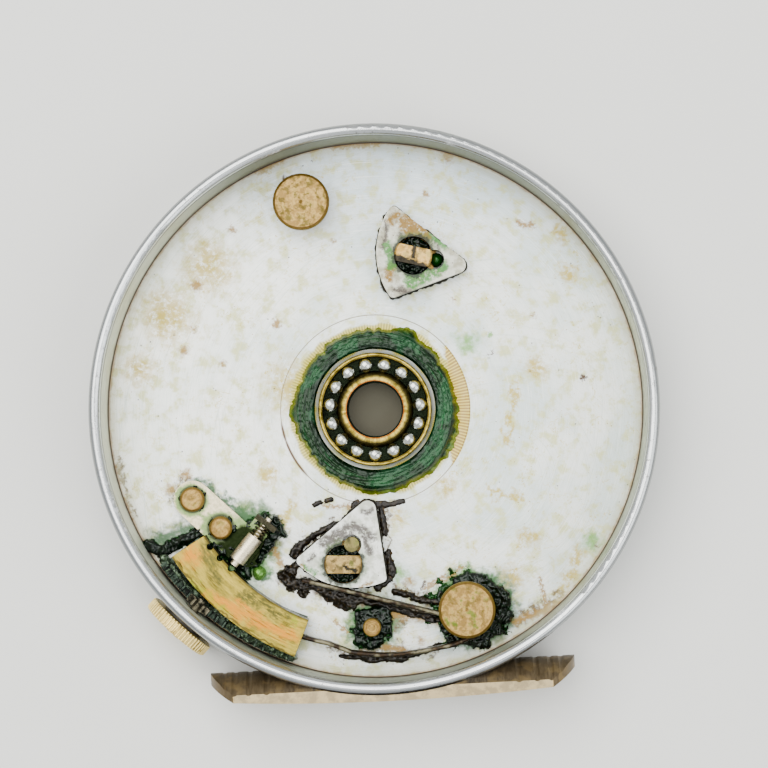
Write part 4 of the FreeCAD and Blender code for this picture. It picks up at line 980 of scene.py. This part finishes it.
def drop(name, x, y, radius, height, material, body="frame", floor=0):
    """A rounded drop that sits on the plate or in a hole."""
    rings, turns = 10, 32
    points = [(x, y, floor + height)]
    faces = []
    for j in range(1, rings + 1):
        share = j / rings
        for i in range(turns):
            angle = 2 * math.pi * i / turns
            reach = radius * math.sin(share * math.pi / 2) * (1 + 0.05 * math.sin(3 * angle + 1))
            lift = height * math.cos(share * math.pi / 2) if j < rings else -0.05
            points.append((x + reach * math.cos(angle), y + 1.12 * reach * math.sin(angle), floor + lift))
    for i in range(turns):
        n = (i + 1) % turns
        faces.append((0, 1 + i, 1 + n))
        for j in range(rings - 1):
            a, b = 1 + j * turns + i, 1 + j * turns + n
            faces.append((a, a + turns, b + turns, b))
    faces.append(tuple(1 + (rings - 1) * turns + i for i in reversed(range(turns))))
    return solid(name, points, faces, material, body)


drop("grease_drop", -22.6, -28.6, 1.25, 1.3,
     grease_look("grease_drop_green", (84, 118, 66), (116, 146, 92), (160, 180, 130), 0.08))
drop("spare_lobe_grease", 12.6, 26.5, 1.2, 1.5, BLACK_GREEN, "stored_pawl", 1.4)

# Dark beads under the pawls' edges: dirt, and painted shade in the gap beneath.
skirt("pawl_edge_shade_and_dirt", "check_pawl", "working_pawl", BROWN_DIRT, 0.35, 1.6, 0.5, 61)
skirt("spare_pawl_edge_shade_and_dirt", "spare_pawl", "stored_pawl", BROWN_DIRT, 0.35, 1.55, 0.4, 67)


def stud_fill(name, x, y, turn, body_slot, seed):
    """Grease packed beside the flats of a stud, inside the pawl's round hole."""
    cos, sin = math.cos(math.radians(turn)), math.sin(math.radians(turn))

    def keep(px, py):
        across = -(px - x) * sin + (py - y) * cos
        return min((3.38 - math.hypot(px - x, py - y)) * 3, (abs(across) - 1.5) * 3)
    return deposit(name, "frame", BLACK_GREEN, [(x, y, x + 0.01, y, 5, 2.4)], seed, 0.14, 1.15,
        0.1, 0.3, keep)


stud_fill("pawl_stud_grease", *PAWL_STUD, -3, "brass", 71)
stud_fill("spare_stud_grease", *SPARE_STUD, -15, "brass", 73)


def polar(radius, degrees):
    """The point at a radius and an angle round the spindle."""
    return radius * math.cos(math.radians(degrees)), radius * math.sin(math.radians(degrees))


def rack_grease():
    """Lumps of dark grease with painted grey-green highlights, in the trough between the slide and the wall."""
    capsules = []
    for i in range(18):
        angle = 212.6 + i * 2.05
        clear = angle < 231.5
        x0, y0 = polar(46.8 + 0.3 * math.sin(i * 2.1), angle)
        x1, y1 = polar(47.2, angle + 1.2)
        capsules.append((x0, y0, x1, y1, 1 + 0.25 * math.sin(i * 1.7), 1.1 if clear else 2.6))
    return deposit("rack_grease", "slide", DARK_GREASE_GREY_SHEEN, capsules, 79, 0.16, 1.32, 0.25, 0.5,
                   lambda x, y: min((48.2 - math.hypot(x, y)) * 2, (math.hypot(x, y) - 46) * 2))


rack_grease()

# ---------------------------------------------------------------- check spring

SLOPE = math.radians(16.7)
CONTACT = (-8.53, -31.98)


def upper_leg(x):
    """The point of the working leg at x, on its slope through the place where it meets the pawl."""
    return (x, CONTACT[1] - (x - CONTACT[0]) * math.tan(SLOPE))


SPRING_RUST = spring_look()
LEAF = {
    "width": 0.8, "low": 1.5, "high": 4.5, "material": SPRING_RUST, "node_slot": "spring_steel", "wobble": 0.05,
}
upper_path = even([upper_leg(-14.7), upper_leg(14.4)], 0.4, False)
upper = strip_along("spring_upper_leg", upper_path, seed=83.0, body=None, **LEAF)
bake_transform(upper)
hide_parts("check_spring")
FOLD = upper_leg(15.43)
FOLD_R = 1.5
fold_x, fold_y = FOLD[0] - FOLD_R * math.sin(SLOPE), FOLD[1] - FOLD_R * math.cos(SLOPE)
fold = [(fold_x + x, fold_y + y) for x, y in (polar(FOLD_R, a) for a in range(73, -106, -12))]
LOW_BEND = [
    (12, -43.2), (8.6, -43.75), (5, -44.2), (2.2, -44.4), (-0.6, -44.4), (-3.4, -44.15), (-6.6, -43.55),
]
tip = [polar(43.1, a) for a in range(256, 243, -2)]
lower_path = even(fold + LOW_BEND + tip, 0.4, False)
lower = strip_along("spring_lower_leg", lower_path, seed=89.0, body="frame", **LEAF)
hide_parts("check_spring")

# ---------------------------------------------------------------- detent spring

PLUNGER = Vector((-24.6, -24, 3))
NOSE_WAY = Vector((*polar(1, 229), 0))


def detent_coil():
    """The coil between the lug and the barrel."""
    across = Vector((-NOSE_WAY.y, NOSE_WAY.x, 0))
    turns, per_turn, sides = 3.5, 28, 10
    coil_r, wire_r = 1.05, 0.2
    near, far = -5.15, -2.95
    steps = int(turns * per_turn)
    points = []
    for i in range(steps + 1):
        angle = 2 * math.pi * i / per_turn
        out = across * math.cos(angle) + Vector((0, 0, 1)) * math.sin(angle)
        middle = PLUNGER + NOSE_WAY * (near + (far - near) * i / steps) + out * coil_r
        for k in range(sides):
            part = 2 * math.pi * k / sides
            points.append(tuple(middle + (out * math.cos(part) + NOSE_WAY * math.sin(part)) * wire_r))
    wire = steel_look("coil_wire_steel", (110, 104, 84), (30, 30, 22), (0.45, 0.6))
    coil = solid("detent_coil", points, swept_faces(steps + 1, sides), wire, None)
    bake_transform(coil)
    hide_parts("detent_spring")


detent_coil()

# ---------------------------------------------------------------- floor, light and camera

def ground_look():
    look = Look("floor_paper")
    fine = look.cloud(0.05, 3)
    look.bump(look.cloud(0.8, 3), 0.02)
    return look.done(look.mix(fine, (232, 232, 229), (228, 228, 225)), 0.9, 0, Specular_IOR_Level=0.1)


HALF_FLOOR = 1500
CORNERS = [(x * HALF_FLOOR, y * HALF_FLOOR, PAPER_Z) for x, y in ((-1, -1), (1, -1), (1, 1), (-1, 1))]
solid("floor", CORNERS, [(0, 1, 2, 3)], ground_look(), None)

WELL_SHADE_R = 14
shade_ring = [(*polar(WELL_SHADE_R, a), SHADE_Z) for a in range(0, 360, 6)]
shade = Look("shade_card")
well_shade = solid("bore_shade", shade_ring, [tuple(range(len(shade_ring)))],
                   shade.done(shade.mix(shade.cloud(0.3), (90, 89, 80), (84, 83, 74)), 0.9), None)


def soft_light(name, place, target, width, height, watts, colour):
    data = bpy.data.lights.new(name, "AREA")
    data.shape = "RECTANGLE"
    data.size, data.size_y, data.energy, data.color = width, height, watts, colour
    lamp = bpy.data.objects.new(name, data)
    bpy.context.scene.collection.objects.link(lamp)
    lamp.location = place
    lamp.rotation_euler = (Vector(target) - Vector(place)).to_track_quat("-Z", "Y").to_euler()


soft_light("key_softbox", (-0.28, 0.34, 1), (0, 0, 0), 1.1, 1.1, 21, (1, 0.99, 0.97))
soft_light("fill_softbox", (0.75, -0.35, 0.9), (0, 0, 0), 0.9, 0.9, 8, (0.97, 0.99, 1))
world = bpy.data.worlds.new("studio")
world.use_nodes = True
backdrop = world.node_tree.nodes["Background"]
backdrop.inputs["Color"].default_value = (0.92, 0.94, 0.95, 1)
backdrop.inputs["Strength"].default_value = 1.06
bpy.context.scene.world = world

ROLL = math.radians(3)
EYE = Vector((9.4, -7.6, 544)) * MM
AIM = Vector((2.04, 4.23, 14)) * MM
HALF_VIEW = 0.0681
camera_data = bpy.data.cameras.new("camera")
camera_data.sensor_width = 36
camera_data.lens = camera_data.sensor_width / 2 * (AIM - EYE).length / HALF_VIEW
camera_data.clip_start = 0.01
camera = bpy.data.objects.new("camera", camera_data)
bpy.context.scene.collection.objects.link(camera)
back = (EYE - AIM).normalized()
right = Vector((math.sin(ROLL), math.cos(ROLL), 0)).cross(back).normalized()
up = back.cross(right)
camera.matrix_world = Matrix((
    (right.x, up.x, back.x, EYE.x),
    (right.y, up.y, back.y, EYE.y),
    (right.z, up.z, back.z, EYE.z),
    (0, 0, 0, 1),
))
bpy.context.scene.camera = camera
